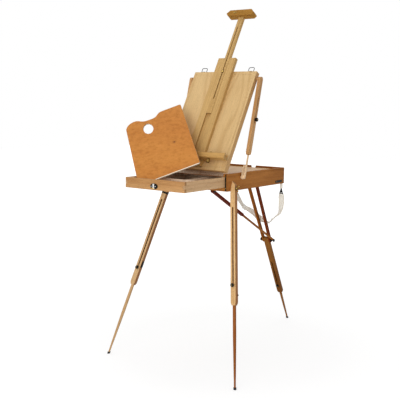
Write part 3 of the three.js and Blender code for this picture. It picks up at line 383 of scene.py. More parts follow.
def knotted(tree, color, at, radius):
    """A small dark knot with a ring of darker grain round it."""
    away = against(tree, "Object", "DISTANCE", at)
    near = spread(tree, value_of(tree, "DIVIDE", away, radius * 4), 0.18, 1.0, 0.55, 1.0)
    color = mixed(tree, color, near, 0.6, "MULTIPLY")
    core = spread(tree, value_of(tree, "DIVIDE", away, radius * 2), 0.35, 0.6, 1.0, 0.0)
    return mixed(tree, color, KNOT, core)


def pale_edge_strip(tree, color, edge, outward, offset, width):
    """A narrow strip of the edge colour on the face, along a straight edge."""
    reach = against(tree, "Object", "DOT_PRODUCT", outward)
    inside = value_of(tree, "DIVIDE", value_of(tree, "SUBTRACT", offset, reach), width * 2)
    return mixed(tree, color, edge, spread(tree, inside, 0.4, 0.6, 1.0, 0.0))


def plain(name, color, roughness, metallic=0.0, grain=0.0, scale=300.0, worn=None,
          wear=(0.45, 0.75), level=0.5):
    """Paint, metal or rubber: a colour worn to another one in patches, with uneven gloss."""
    material, tree, shader = started(name)
    patches = noise(tree, coordinate(tree, "Object"), (scale,) * 3, 4.0, 0.6)
    worn = worn or tuple(min(1.0, c * 1.5 + 0.01) for c in color)
    tree.links.new(graded(tree, patches, [(wear[0], color), (wear[1], worn)]),
                   shader.inputs["Base Color"])
    tree.links.new(spread(tree, patches, 0.3, 0.8, roughness * 0.8, min(1, roughness * 1.3)),
                   shader.inputs["Roughness"])
    shader.inputs["Metallic"].default_value = metallic
    shader.inputs["Specular IOR Level"].default_value = level
    if grain:
        relief(tree, shader, patches, grain)
    return material


# The webbing's weave and stitches, in metres.
TWILL_ALONG, TWILL_ACROSS, RIB = 0.0026, 0.0019, 0.0024
STITCH_LINE, STITCH_HALF_WIDTH, STITCH_PITCH = 0.0098, 0.0009, 0.006


def webbing(name, color, thread):
    """Twill-woven cotton webbing: ribs, a diagonal weave, and lines of thread along both edges."""
    material, tree, shader = started(name)
    along = node(tree, "ShaderNodeAttribute", attribute_name="along").outputs["Fac"]
    across = node(tree, "ShaderNodeAttribute", attribute_name="across").outputs["Fac"]

    def turns(distance, pitch):
        return times(tree, distance, 2 * math.pi / pitch)

    diagonal = value_of(tree, "ADD", turns(along, TWILL_ALONG), turns(across, TWILL_ACROSS))
    twill = value_of(tree, "SINE", diagonal)
    rib = value_of(tree, "SINE", turns(across, RIB))
    weave = value_of(tree, "ADD", times(tree, twill, 0.5),
                     times(tree, rib, 0.3))
    shade = mixed(tree, tuple(c * 0.93 for c in color), color, spread(tree, weave, 0.1, 0.5))
    from_line = value_of(tree, "ABSOLUTE", value_of(
        tree, "SUBTRACT", value_of(tree, "ABSOLUTE", across), STITCH_LINE))
    pulled = value_of(tree, "GREATER_THAN", value_of(
        tree, "SINE", turns(along, STITCH_PITCH)), -0.3)
    stitch = times(tree, value_of(
        tree, "LESS_THAN", from_line, STITCH_HALF_WIDTH), pulled)
    shade = mixed(tree, shade, thread, times(tree, stitch, 0.75))
    blotches = noise(tree, coordinate(tree, "Object"), (45,) * 3, 4.0, 0.6)
    soil = spread(tree, blotches, 0.45, 0.75, 1.0, 0.9)
    shade = mixed(tree, shade, soil, 0.6, "MULTIPLY")
    tree.links.new(shade, shader.inputs["Base Color"])
    height = value_of(tree, "ADD", weave, times(tree, stitch, 1.2))
    relief(tree, shader, height, 0.5, 0.0006)
    shader.inputs["Roughness"].default_value = 0.92
    shader.inputs["Sheen Weight"].default_value = 0.5
    shader.inputs["Specular IOR Level"].default_value = 0.2
    return material


def dress(names, material):
    """Gives CAD nodes a material."""
    for name in names:
        slots = frame["nodes"][name].data.materials
        if not slots:
            slots.append(material)
        for i in range(len(slots)):
            slots[i] = material


# Each row: its nodes, the light and the dark tone of the wood, and the direction of the grain,
# as an axis or as the joint that slides along it.
BOARDS = [
    ("box_wall_left box_wall_right", (184, 122, 62), (144, 87, 39), Y),
    ("box_wall_rear box_rail_low box_rail_high", (184, 124, 62), (146, 88, 39), X),
    ("drawer_front drawer_back", (204, 156, 102), (174, 124, 72), X),
    ("drawer_side_left drawer_side_right", (226, 190, 145), (194, 152, 107), Y),
    ("mast_guide", (214, 176, 114), (188, 148, 88), LID_UP),
    ("mast", (214, 176, 114), (184, 144, 84), LID_UP),
    ("mast_head", (180, 130, 60), (150, 106, 44), X),
    ("ledge", (202, 158, 92), (174, 130, 68), X),
    ("brace_left_bar", (216, 168, 112), (180, 132, 80), "brace_left_slide"),
    ("brace_right_bar", (216, 168, 112), (180, 132, 80), "brace_right_slide"),
    ("brace_left_strut", (244, 214, 174), (218, 180, 138), "brace_left_slide"),
    ("brace_right_strut", (244, 214, 174), (218, 180, 138), "brace_right_slide"),
    ("front_leg_left", (218, 181, 130), (188, 147, 100), "front_leg_left_extend"),
    ("front_leg_right", (232, 192, 136), (200, 156, 102), "front_leg_right_extend"),
    ("front_leg_left_rod", (208, 170, 122), (182, 140, 92), "front_leg_left_extend"),
    ("front_leg_right_rod", (172, 104, 50), (138, 78, 34), "front_leg_right_extend"),
    ("rear_leg_rail_left", (170, 102, 34), (136, 72, 18), "rear_leg_extend"),
    ("rear_leg_rail_right", (126, 54, 14), (92, 34, 7), "rear_leg_extend"),
    ("rear_leg_core rear_leg_rod", (148, 97, 44), (112, 66, 26), "rear_leg_extend"),
    ("stay_sleeve", (122, 40, 12), (86, 24, 6), "stay_extend"),
    ("stay_bar", (176, 114, 48), (140, 80, 26), "stay_extend"),
]
SHINY_FROM = 200  # boards with more red than this in their light tone shine
# Painted shade: this colour darkens the sides of the front legs, as if they lay in shadow.
FLANK_SHADE = (0.47, 0.31, 0.19)
LEG_SHADED_FLANKS = {
    name: (axis_of(f"{name}_extend").cross(axis_of(f"{name}_knob_turn")).normalized(), FLANK_SHADE)
    for name in ("front_leg_left", "front_leg_right")}
for count, (names, light, dark, along) in enumerate(BOARDS):
    grain = axis_of(along) if isinstance(along, str) else along
    for i, name in enumerate(names.split()):
        dress([name], wood(name, tone(*light), tone(*dark), grain, seed=count * 1.7 + i * 0.61,
                           shine=SHINE if light[0] > SHINY_FROM else DULL,
                           shaded_flanks=LEG_SHADED_FLANKS.get(name)))

BIRCH, GLUE = tone(214, 186, 140), tone(140, 96, 56)
LID_PLIES = ((["lid_panel"], BIRCH, GLUE),
             (["lid_rim_left", "lid_rim_right", "lid_rail_low", "lid_rail_top"],
              tone(200, 158, 104), tone(192, 148, 92)))
for names, edge, glue in LID_PLIES:
    dress(names, plywood("lid ply", tone(220, 186, 132), tone(201, 163, 108), LID_OUT, LID_UP,
                         seed=4.0, edge=edge, glue=glue, plies=3, thickness=4 * MM, figure=11))
dress(["box_bottom", "box_shelf", "drawer_bottom"],
      plywood("box ply", tone(216, 176, 124), tone(190, 146, 94), Z, Y,
              seed=9.0, edge=BIRCH, glue=GLUE, plies=3, thickness=3 * MM))


def widest_face(name):
    """The direction that a flat node's largest faces point in."""
    mesh = frame["nodes"][name].data
    return Vector(max(mesh.polygons, key=lambda p: p.area).normal)


def lowest_edge(name, face):
    """The outward normal of a flat node's lowest straight edge, and how far out it lies."""
    mesh = frame["nodes"][name].data
    rims = [p for p in mesh.polygons if abs(p.normal.dot(face)) < 0.1 and p.normal.z < -0.5]
    rim = max(rims, key=lambda p: p.area)
    return Vector(rim.normal), Vector(rim.normal).dot(rim.center)


def palette_spot(u, v):
    """A point on the palette's face, from 0 to 1 along X and up Z of its box."""
    low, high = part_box("palette")
    middle = (low + high) / 2
    spot = Vector((low.x + (high.x - low.x) * u, middle.y, low.z + (high.z - low.z) * v))
    return spot - PALETTE_FACE * (spot - middle).dot(PALETTE_FACE)


PALETTE_FACE = widest_face("palette")
PALETTE_ACROSS = Vector((0.95, 0, 0.3))  # the grain's direction, before it is laid in the face
PALETTE_GRAIN = (PALETTE_ACROSS - PALETTE_FACE * PALETTE_FACE.dot(PALETTE_ACROSS)).normalized()
PALETTE_DOWN = lowest_edge("palette", PALETTE_FACE)
PALETTE_PALE_STRIP = 3.2 * MM  # the width of the pale strip along its lowest edge
PALETTE_KNOT = (palette_spot(0.633, 0.593), 3.2 * MM)  # its place and radius
dress(["palette"], plywood(
    "palette", tone(199, 130, 55), tone(189, 118, 46), PALETTE_FACE, PALETTE_GRAIN, seed=2.0,
    edge=tone(250, 240, 220), glue=tone(92, 60, 34), plies=3, thickness=5 * MM, clouds=0.95,
    fleck=0.18, figure=5, bare=(*PALETTE_DOWN, PALETTE_PALE_STRIP), knots=[PALETTE_KNOT]))

BLACK = plain("black lacquer", (0.006, 0.0055, 0.005), 0.34, grain=0.2,
              worn=(0.016, 0.014, 0.012), level=0.1)
RUBBER = plain("black rubber", (0.014, 0.014, 0.015), 0.8, grain=0.5, scale=900, level=0.3)
BRASS = plain("brass", (0.66, 0.46, 0.14), 0.26, metallic=1.0, scale=110,
              worn=(0.20, 0.11, 0.025), wear=(0.42, 0.6))
OLD_BRASS = plain("old brass", (0.32, 0.20, 0.06), 0.36, metallic=1.0, scale=110,
                  worn=(0.10, 0.055, 0.015))
STEEL = plain("nickel", (0.86, 0.86, 0.84), 0.26, metallic=1.0, scale=140,
              worn=(0.60, 0.60, 0.58))
IRON = plain("dark steel", (0.022, 0.019, 0.016), 0.42, metallic=0.4, scale=200,
             worn=(0.055, 0.046, 0.038), level=0.15)
BRONZE = plain("bronzed steel", (0.62, 0.50, 0.38), 0.38, metallic=0.9, scale=200,
               worn=(0.40, 0.29, 0.20))
# Painted reflection: the liner's warm brown stands in for the wood that its metal mirrors.
ZINC_PAINTED_REFLECTION = plain("zinc", (0.80, 0.64, 0.48), 0.5, metallic=0.15, scale=70,
             worn=(0.66, 0.51, 0.38), wear=(0.4, 0.62))
COTTON = webbing("webbing", (0.99, 0.955, 0.865), tone(222, 208, 184))

# Each fitting's material, and how the names of the nodes that are made of it begin.
METALS = (
    (ZINC_PAINTED_REFLECTION, "drawer_liner"), (BRONZE, "lid_hinge_"), (OLD_BRASS, "ledge_screw"),
    (BLACK, ("latch_", "strap_ring", "rear_leg_bracket", "rear_leg_clamp", "stay_bracket",
             "mast_clamp")),
)
for material, starts in METALS:
    dress([n for n in frame["nodes"] if n.startswith(starts)], material)


# ---------------------------------------------------------------- finish of the CAD nodes

SHARP_EDGE = math.radians(38)  # steeper edges stay sharp, and are eased
WELD = 2e-6  # metres


def smoothing_group():
    """Joins a node's faces at their edges, shades shallow edges smooth and keeps the sharp ones."""
    group = bpy.data.node_groups.new("smooth", "GeometryNodeTree")
    for way in ("INPUT", "OUTPUT"):
        group.interface.new_socket("Geometry", in_out=way, socket_type="NodeSocketGeometry")
    source = node(group, "NodeGroupInput")
    bare = node(group, "GeometryNodeRemoveAttribute", Name="custom_normal")
    weld = node(group, "GeometryNodeMergeByDistance", Distance=WELD)
    soft = node(group, "GeometryNodeSetShadeSmooth", domain="FACE")
    soft.inputs["Shade Smooth"].default_value = True
    sharp = node(group, "GeometryNodeSetShadeSmooth", domain="EDGE")
    sharp.inputs["Shade Smooth"].default_value = False
    angle = node(group, "GeometryNodeInputMeshEdgeAngle")
    steep = node(group, "FunctionNodeCompare", data_type="FLOAT", operation="GREATER_THAN")
    steep.inputs["B"].default_value = SHARP_EDGE
    out = node(group, "NodeGroupOutput")
    steps = (source, bare, weld, soft, sharp, out)
    for before, after in zip(steps, steps[1:]):
        group.links.new(before.outputs[0], after.inputs["Geometry"])
    group.links.new(angle.outputs["Unsigned Angle"], steep.inputs["A"])
    group.links.new(steep.outputs[0], sharp.inputs["Selection"])
    return group


SMOOTH = smoothing_group()
WOODEN = [name for names, *_ in BOARDS for name in names.split()]
# Widths of the eased edges, in millimetres.
EASED_WOOD, EASED_OTHER = 0.7, 0.25
EASED = {"palette": 0.6, "mast": 0.35, "box_bottom": 0.3, "box_shelf": 0.3, "drawer_bottom": 0.3,
         "lid_panel": 0.0, "drawer_liner": 0.0, "lid_hinge_lid_leaf": 0.0,
         "lid_hinge_box_leaf": 0.0}


def ease(name, width):
    """Shades a node smooth, and rounds its edges over by a width in millimetres."""
    target = frame["nodes"][name]
    smooth = target.modifiers.new("smooth", "NODES")
    smooth.node_group = SMOOTH
    if width:
        bevel = target.modifiers.new("ease", "BEVEL")
        bevel.width = width * MM
        bevel.segments = 2
        bevel.limit_method = "ANGLE"
        bevel.angle_limit = SHARP_EDGE
        bevel.harden_normals = True
        bevel.use_clamp_overlap = True


for name in frame["nodes"]:
    ease(name, EASED.get(name, EASED_WOOD if name in WOODEN else EASED_OTHER))


# ---------------------------------------------------------------- making pieces

class Shape:
    """Gathers solid parts, each with its own material, into one piece."""

    def __init__(self):
        self.verts, self.faces, self.finish = [], [], []

    def add(self, verts, faces, matrix=None, finish=0):
        """Adds a solid, placed by a matrix; finish is the number of its material."""
        start = len(self.verts)
        self.verts += [matrix @ Vector(v) if matrix else Vector(v) for v in verts]
        self.faces += [[start + i for i in face] for face in faces]
        self.finish += [finish] * len(faces)
        return self

    def piece(self, name, body, slot, materials, replaces=(), sharp=35):
        """Makes the piece, which rides on a body; edges over sharp degrees stay sharp."""
        mesh = bpy.data.meshes.new(name)
        mesh.from_pydata(self.verts, [], self.faces)
        for material in materials:
            mesh.materials.append(material)
        for polygon, finish in zip(mesh.polygons, self.finish):
            polygon.material_index = finish
            polygon.use_smooth = True
        tidy = bmesh.new()
        tidy.from_mesh(mesh)
        bmesh.ops.recalc_face_normals(tidy, faces=tidy.faces)
        tidy.to_mesh(mesh)
        tidy.free()
        mesh.set_sharp_from_angle(angle=math.radians(sharp))
        made = bpy.data.objects.new(name, mesh)
        scene.collection.objects.link(made)
        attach(made, body)
        if replaces:
            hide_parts(*replaces)
        return made


def stand(origin, axis, toward=None):
    """A frame at a point: its Z runs along an axis, and its X leans towards another direction."""
    z = Vector(axis).normalized()
    hint = Vector(toward) if toward else (X if abs(z.x) < 0.9 else Y)
    x = (hint - z * hint.dot(z)).normalized()
    made = Matrix((x, z.cross(x), z)).transposed().to_4x4()
    made.translation = Vector(origin)
    return made


def loft(rings):
    """A closed solid through rings with the same number of points; a ring of one point is a tip."""
    verts, faces = [], []
    count = max(len(r) for r in rings)
    starts = []
    for ring in rings:
        starts.append(len(verts))
        verts += [Vector(p) for p in ring]
    for k in range(len(rings) - 1):
        a, b = starts[k], starts[k + 1]
        for i in range(count):
            j = (i + 1) % count
            if len(rings[k]) == 1:
                faces.append([a, b + j, b + i])
            elif len(rings[k + 1]) == 1:
                faces.append([a + i, a + j, b])
            else:
                faces.append([a + i, a + j, b + j, b + i])
    for ring, start in ((rings[0], starts[0]), (rings[-1], starts[-1])):
        if len(ring) > 1:
            faces.append([start + i for i in range(count)])
    return verts, faces


FLUTED_FROM = 6  # millimetres; narrower parts of a fluted solid, such as its hub, stay round


def turned(profile, segments=28, across=1.0, flutes=0, cut=0.0):
    """A solid turned round Z from (radius, height) pairs in millimetres.

    It can be squashed across Y, or have flutes cut into it by a share of its radius.
    """
    rings = []
    for radius, height in profile:
        if radius < 1e-6:
            rings.append([(0, 0, height * MM)])
            continue
        fluted = flutes and radius > FLUTED_FROM
        ring = []
        for i in range(segments):
            turn = 2 * math.pi * i / segments
            wave = 1 - cut * (0.5 + 0.5 * math.cos(flutes * turn)) if fluted else 1
            ring.append((radius * wave * math.cos(turn) * MM,
                         radius * wave * across * math.sin(turn) * MM, height * MM))
        rings.append(ring)
    return loft(rings)


def slab(outline, low, high, soft=0.4):
    """A flat plate from an outline in millimetres, with its rim softened; it stands on XY."""
    middle = Vector([sum(c) / len(outline) for c in zip(*outline)])

    def level(height, inset):
        ring = []
        for p in outline:
            v = Vector(p) - middle
            v *= max(0.0, 1 - inset / max(v.length, 1e-6))
            ring.append(((middle.x + v.x) * MM, (middle.y + v.y) * MM, height * MM))
        return ring

    return loft([level(low, soft), level(low + soft, 0), level(high - soft, 0), level(high, soft)])


def oblong(width, height, corner, steps=5):
    """The outline of a rounded rectangle about the origin, in millimetres."""
    points = []
    for quarter, (sx, sy) in enumerate(((1, 1), (-1, 1), (-1, -1), (1, -1))):
        for k in range(steps + 1):
            turn = math.pi / 2 * (quarter + k / steps)
            points.append((sx * (width / 2 - corner) + corner * math.cos(turn),
                           sy * (height / 2 - corner) + corner * math.sin(turn)))
    return points


def tube(path, radius, sides=10, closed=False):
    """A round wire of a radius in metres through points."""
    rings = []
    last = None
    for i, p in enumerate(path):
        before = path[i - 1] if i or closed else path[0]
        after = path[(i + 1) % len(path)] if i + 1 < len(path) or closed else path[-1]
        along = (Vector(after) - Vector(before)).normalized()
        hint = last if last else (Z if abs(along.z) < 0.9 else X)
        u = (hint - along * hint.dot(along)).normalized()
        last = u
        v = along.cross(u)
        rings.append([Vector(p) + (u * math.cos(2 * math.pi * k / sides)
                                   + v * math.sin(2 * math.pi * k / sides)) * radius
                      for k in range(sides)])
    verts, faces = loft(rings)
    if closed:
        faces = faces[:-2]
        start = len(rings[0]) * (len(rings) - 1)
        faces += [[start + i, start + (i + 1) % sides, (i + 1) % sides, i] for i in range(sides)]
    return verts, faces


def screw(shape, at, out, radius, finish, turn):
    """A domed screw head with a slot in the next finish, at a point in metres, facing out."""
    head = [(radius, -0.5), (radius, 0.1), (radius * 0.8, 0.45), (radius * 0.4, 0.62), (0, 0.66)]
    base = stand(at, out)
    shape.add(*turned(head, 16), base, finish)
    half = radius * 0.75
    slot = [(-half, -0.3), (half, -0.3), (half, 0.3), (-half, 0.3)]
    shape.add(*slab(slot, 0.5, 0.74, 0.05), base @ Matrix.Rotation(turn, 4, "Z"), finish + 1)


# ---------------------------------------------------------------- knobs, wing nuts and the pull

def extent(name, axis):
    """The lowest and highest reach of a node along an axis, in metres."""
    reach = [p.dot(axis) for p in points_of(name)]
    return min(reach), max(reach)


KNOB_REACH = 12  # how far a grip stands out along its screw, in millimetres
# A grip from its root to its face: shares of its radius, and heights in millimetres.
KNOB_GRIP = [(0, 0.3), (0.78, 0.3), (0.8, 2.2), (0.94, 3.2), (1, 4.2), (1, 9.2), (0.93, 10.6),
             (0.8, 11.3), (0.5, 11.5), (0.46, 10.9), (0, 10.9)]
KNOB_NUT = [(0, 10.5), (2.6, 10.5), (2.6, 11.5), (1.9, 12), (0, 12)]


def make_knob(node_name, out_sign, radius):
    """A fluted black knob with a brass nut in its face, on its screw."""
    axis = axis_of(node_name + "_turn") * out_sign
    pivot = pivot_of(node_name + "_turn")
    low, high = extent(node_name, axis)
    base = stand(pivot + axis * (high - pivot.dot(axis) - KNOB_REACH * MM), axis)
    tail = (low - high) / MM + KNOB_REACH
    shape = Shape()
    shape.add(*turned([(0, tail), (2.2, tail), (2.2, 0.4)], 14), base, 1)
    shape.add(*turned([(share * radius, height) for share, height in KNOB_GRIP], 48, flutes=12,
                      cut=0.1), base, 0)
    shape.add(*turned(KNOB_NUT, 6), base, 1)
    shape.piece(node_name + "_grip", BODY_OF[node_name], "black_metal", [BLACK, BRASS],
                [node_name])


for name in ("left", "right"):
    make_knob(f"brace_{name}_knob", 1, 8.9)
    make_knob(f"front_leg_{name}_knob", -1, 7.8)
make_knob("rear_leg_knob", -1, 7.5)

# The wing nut, in millimetres from its seat.
NUT_WASHER = [(0, -0.1), (7.4, -0.1), (7.4, 0.9), (7.1, 1.2), (0, 1.2)]
NUT_HUB = [(0, 1.1), (5.2, 1.1), (5.2, 2.6), (4.4, 5.2), (4.0, 8.0), (3.4, 8.8), (0, 8.8)]
NUT_WING = [(3.0, 0.8), (6.5, 1.2), (11, 6), (14.4, 8.8), (15, 12.4), (12.8, 15), (9, 14.4),
            (5.2, 7.6), (3.0, 7.2)]
NUT_BOLT_END = [(0, 8.6), (2.3, 8.6), (2.3, 11.4), (1.6, 12.2), (0, 12.2)]
NUT_SHANK = [(0, -26.5), (2.7, -26.5), (2.7, 0), (0, 0)]
NUT_REACH = 16.4 * MM  # from the outer end of the CAD screw back to the nut's seat
NUT_TURN = Vector((0, 0.3, 0.95))  # the way one wing points


def make_wing_nut(name, body, origin, out, replaced):
    """A brass wing nut on its washer: hub, two swept wings, and its bolt with the shank."""
    base = stand(origin, out, NUT_TURN)
    upright = base @ Matrix.Translation((0, 0, 1.2 * MM)) @ Matrix.Rotation(math.pi / 2, 4, "X")
    shape = Shape()
    shape.add(*turned(NUT_WASHER), base, 1)
    shape.add(*turned(NUT_HUB, 24), base, 0)
    for s in (-1, 1):
        shape.add(*slab([(s * x, z) for x, z in NUT_WING], -1.3, 1.3, 0.7), upright, 0)
    shape.add(*turned(NUT_BOLT_END, 16), base, 1)
    shape.add(*turned(NUT_SHANK, 16), base, 1)
    shape.piece(name, body, "wing_screw", [BRASS, IRON], [replaced])


LEG_PLATE_ABOVE = 0.019  # metres from the clamp's screw up to the plate's middle
BAND_BELOW = 0.051  # metres from the leg's pivot down to the band's middle
RIVET_BELOW, RIVET_ASIDE = 41 * MM, 9 * MM  # from the clamp's screw
RIVET = [(0, -0.4), (3.6, -0.4), (3.6, 0.3), (2.6, 1.3), (0, 1.7)]


def make_leg_fittings(name, sign):
    """A front leg's wing nut and the plate beside its clamp; a band (left) or a rivet (right)."""
    leg = f"front_leg_{name}"
    node_name = leg + "_screw"
    low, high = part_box(node_name)
    pivot = pivot_of(leg + "_screw_turn")
    seat = Vector((sign * (max(abs(low.x), abs(high.x)) - NUT_REACH), pivot.y, pivot.z))
    make_wing_nut(leg + "_wing_nut", BODY_OF[node_name], seat, X * sign, node_name)
    down = -axis_of(leg + "_extend")
    clamp = pivot_of(leg + "_knob_turn")
    face = axis_of(leg + "_knob_turn")
    inward = down.cross(face).normalized()
    inward *= -1 if inward.x * sign > 0 else 1
    near, far = extent(leg, inward)
    shape = Shape()
    # a plate on the inner flank, beside the clamp, held by two screws
    plate = stand(clamp - down * LEG_PLATE_ABOVE + inward * (far - clamp.dot(inward)), inward, down)
    shape.add(*slab(oblong(31, 12.0, 3.4, 4), -0.2, 2.6, 0.5), plate, 0)
    for s in (-1, 1):
        screw(shape, plate @ Vector((s * 10.5 * MM, 0, 2.4 * MM)), inward, 2.3, 0, 0.6 * s)
    if name == "left":
        # a black band round the top of the leg, just below the drawer
        back, front = extent(leg, face)
        middle = pivot + down * BAND_BELOW
        middle += (inward * ((near + far) / 2 - middle.dot(inward))
                   + face * ((back + front) / 2 - middle.dot(face)))
        outline = oblong((far - near) / MM + 1.4, (front - back) / MM + 1.4, 1.2, 3)
        shape.add(*slab(outline, -4.5, 4.5, 0.3), stand(middle, down, inward), 0)
    else:
        # a rivet on the outer flank
        spot = clamp + down * RIVET_BELOW + face * RIVET_ASIDE
        spot += inward * (near - clamp.dot(inward))
        shape.add(*turned(RIVET, 18), stand(spot, -inward, down), 0)
    shape.piece(leg + "_side_plate", leg, "black_metal", [BLACK, IRON])


for sign, name in ((-1, "left"), (1, "right")):
    make_leg_fittings(name, sign)

# The drawer's pull, in millimetres from its back plate's rear face.
PULL_PLATE = [(0, 0), (20, 0), (20.4, 0.8), (19.6, 2.0), (18.2, 2.4), (17.4, 1.7), (0, 1.7)]
PULL_BOSS = [(0, 0.8), (7.8, 0.8), (7.9, 2.4), (7.0, 4.8), (4.8, 6.8), (2.2, 7.7), (0, 7.9)]
PULL_BOSS_TIP = [(1.9, 7.0), (1.9, 7.9), (1.3, 8.3), (0, 8.4)]
PULL_LIP = [(-4.0, -10.8), (4.0, -10.8), (4.6, -9.2), (3.9, 0), (4.2, 9.2), (3.4, 10.8),
            (-3.4, 10.8), (-4.2, 9.2), (-3.9, 0), (-4.6, -9.2)]
PULL_STUD = [(0, 5.0), (2.6, 5.0), (2.4, 7.0), (2.4, 10.5), (3.3, 12.0), (3.3, 13.4), (2.4, 14.2),
             (0, 14.2)]
# The plate's place: in front of the rear of the CAD pull's box, and above its middle.
PULL_DEPTH, PULL_RISE = 10.0 * MM, 2.2 * MM


def make_pull():
    """An oval black back plate with two domed bosses, a bright lip between them and a stud."""
    low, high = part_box("drawer_pull")
    base = stand(((low.x + high.x) / 2, high.y - PULL_DEPTH, (low.z + high.z) / 2 + PULL_RISE),
                 -Y, X)
    shape = Shape()
    shape.add(*turned(PULL_PLATE, 44, 0.58), base, 0)
    for s in (-1, 1):
        boss = base @ Matrix.Translation((s * 11.0 * MM, 0, 0))
        shape.add(*turned(PULL_BOSS), boss, 0)
        shape.add(*turned(PULL_BOSS_TIP, 14), boss, 1)
    shape.add(*slab(PULL_LIP, 1.4, 6.4, 1.2), base, 1)
    shape.add(*turned(PULL_STUD, 24), base @ Matrix.Translation((0, -7.6 * MM, 0)), 2)
    shape.piece("drawer_pull_plate", "drawer", "brass_pull", [BLACK, STEEL, BRASS], ["drawer_pull"])


make_pull()


# ---------------------------------------------------------------- feet

FLOOR_TOUCH = 1e-4  # metres; a rod's points below this are its foot
# A rubber tip from the floor up: radii and heights in millimetres.
TIP = [(5.2, 0.2), (6.2, 0.9), (6.6, 2.2), (6.2, 3.6), (6.2, 6.0), (6.5, 7.2), (6.2, 8.2),
       (5.2, 8.6)]


def make_tip(limb):
    """A rubber tip on the foot of a limb's rod, cut level with the floor."""
    rod, down = limb + "_rod", axis_of(limb + "_extend")
    touch = [p for p in points_of(rod) if p.z < FLOOR_TOUCH]
    ground = sum(touch, Vector()) / len(touch)
    ground.z = 0
    u = (X - down * X.dot(down)).normalized()
    v = down.cross(u)
    rings = []
    for radius, height in TIP:
        ring = []
        for i in range(24):
            turn = 2 * math.pi * i / 24
            p = (u * math.cos(turn) + v * math.sin(turn)) * radius * MM
            ring.append(ground + p + down * ((height * MM - p.z) / down.z))
        rings.append(ring)
    Shape().add(*loft(rings)).piece(rod + "_tip", BODY_OF[rod], "black_metal", [RUBBER])


for limb in ("front_leg_left", "front_leg_right", "rear_leg"):
    make_tip(limb)


# ---------------------------------------------------------------- carrying strap

def smooth_path(points, steps):
    """Vectors along a Catmull-Rom curve through the given ones."""
    out = []
    for i in range(len(points) - 1):
        a, b, c, d = (points[max(0, min(len(points) - 1, i + k))] for k in (-1, 0, 1, 2))
        for s in range(steps):
            t = s / steps
            out.append(0.5 * ((2 * b) + (c - a) * t + (2 * a - 5 * b + 4 * c - d) * t * t
                              + (3 * b - a - 3 * c + d) * t ** 3))
    out.append(points[-1])
    return out


# The strap's middle line, in millimetres behind the box's front face, and which way its width
# lies. It hangs from the right ring, twists on edge, lies across the back of the rear leg and
# climbs to the left ring.
STRAP = [
    ((155, 482.8, 730), (1, 0.25, 0)), ((156.2, 483.4, 712), (1, 0.28, 0)),
    ((157, 483.8, 690), (1, 0.2, 0)), ((155, 485, 668), (1, 0.0, 0)),
    ((145.5, 491, 643), (0.85, -0.5, 0.05)), ((121, 510, 620.5), (0.6, -0.8, 0.13)),
    ((92, 532, 600), (0.6, -0.8, 0.13)), ((55, 562, 578), (0.6, -0.8, 0.13)),
    ((32, 584, 568), (0.6, -0.8, 0.16)), ((6, 590, 566), (0.4, -0.5, 0.7)),
    ((-28, 581, 582), (0.1, 0.3, 0.95)), ((-47, 566, 604), (0.15, 0.5, 0.85)),
    ((-70, 547, 625), (-0.1, 0.7, 0.65)), ((-88, 532, 637), (-0.2, 0.8, 0.5)),
    ((-102, 521, 662), (-0.1, 0.85, 0.35)), ((-116, 511, 690), (0.3, 0.85, 0.15)),
    ((-134, 499, 715), (1, 0.3, 0.1)), ((-149, 487.5, 726), (1, 0.2, 0)),
    ((-155, 482.8, 730), (1, 0.1, 0)),
]
STRAP_STEPS = 9  # rows between two points of the list
SLIDER_POINT = 13  # the point of the list that the slider sits at
STRAP_WIDTH, STRAP_THICK, SEWN = 28 * MM, 1.7 * MM, 26 * MM
STRAP_CUP = 1.1 * MM  # how far its edges curl
FOLD_THICK = 3.4 * MM  # what the fold round a ring adds
GATHERED, GATHER_SHARE = 14 * MM, 0.22  # the strap narrows by this share near a ring
# Places of a row's points across the strap, as shares of half its width.
STRAP_SPOTS = [-1, -0.96, -0.72, -0.36, 0, 0.36, 0.72, 0.96, 1]
RINGS = ("strap_ring_left", "strap_ring_right")


def strap_line():
    """Rows along the strap: a point, the ways along and across, and the length so far."""
    line = smooth_path([Vector(p) * MM + Vector((0, FRONT, 0)) for p, _ in STRAP], STRAP_STEPS)
    guides = smooth_path([Vector(g).normalized() for _, g in STRAP], STRAP_STEPS)
    rows, travelled = [], 0.0
    for i, p in enumerate(line):
        along = (line[min(i + 1, len(line) - 1)] - line[max(i - 1, 0)]).normalized()
        wide = (guides[i] - along * guides[i].dot(along)).normalized()
        travelled += (p - line[i - 1]).length if i else 0.0
        rows.append((p, along, wide, travelled))
    return rows


def make_webbing(rows):
    """The webbing, with sewn ends that fold round the rings."""
    length = rows[-1][3]
    rings, along_values, across_values = [], [], []
    for p, along, wide, travelled in rows:
        out = along.cross(wide)
        end = min(travelled, length - travelled)
        fold = max(0.0, 1 - end / SEWN) ** 1.5
        thick = STRAP_THICK * (1 + (0.9 if end < SEWN else 0.0)) + fold * FOLD_THICK
        half = STRAP_WIDTH / 2 * (1 - GATHER_SHARE * max(0.0, 1 - end / GATHERED))
        cup = STRAP_CUP * (1 - fold)
        ring = []
        for face in (1, -1):
            for spot in STRAP_SPOTS[::face]:
                edge = 0.55 if abs(spot) == 1 else 1.0
                lift = face * thick / 2 * edge + cup * spot * spot
                ring.append(p + wide * spot * half + out * lift)
                along_values.append(travelled)
                across_values.append(spot * half)
        rings.append(ring)
    made = Shape().add(*loft(rings)).piece("carry_strap_webbing", "box", "webbing", [COTTON],
                                           ["carry_strap"], sharp=60)
    for label, values in (("along", along_values), ("across", across_values)):
        made.data.attributes.new(label, "FLOAT", "POINT").data.foreach_set("value", values)


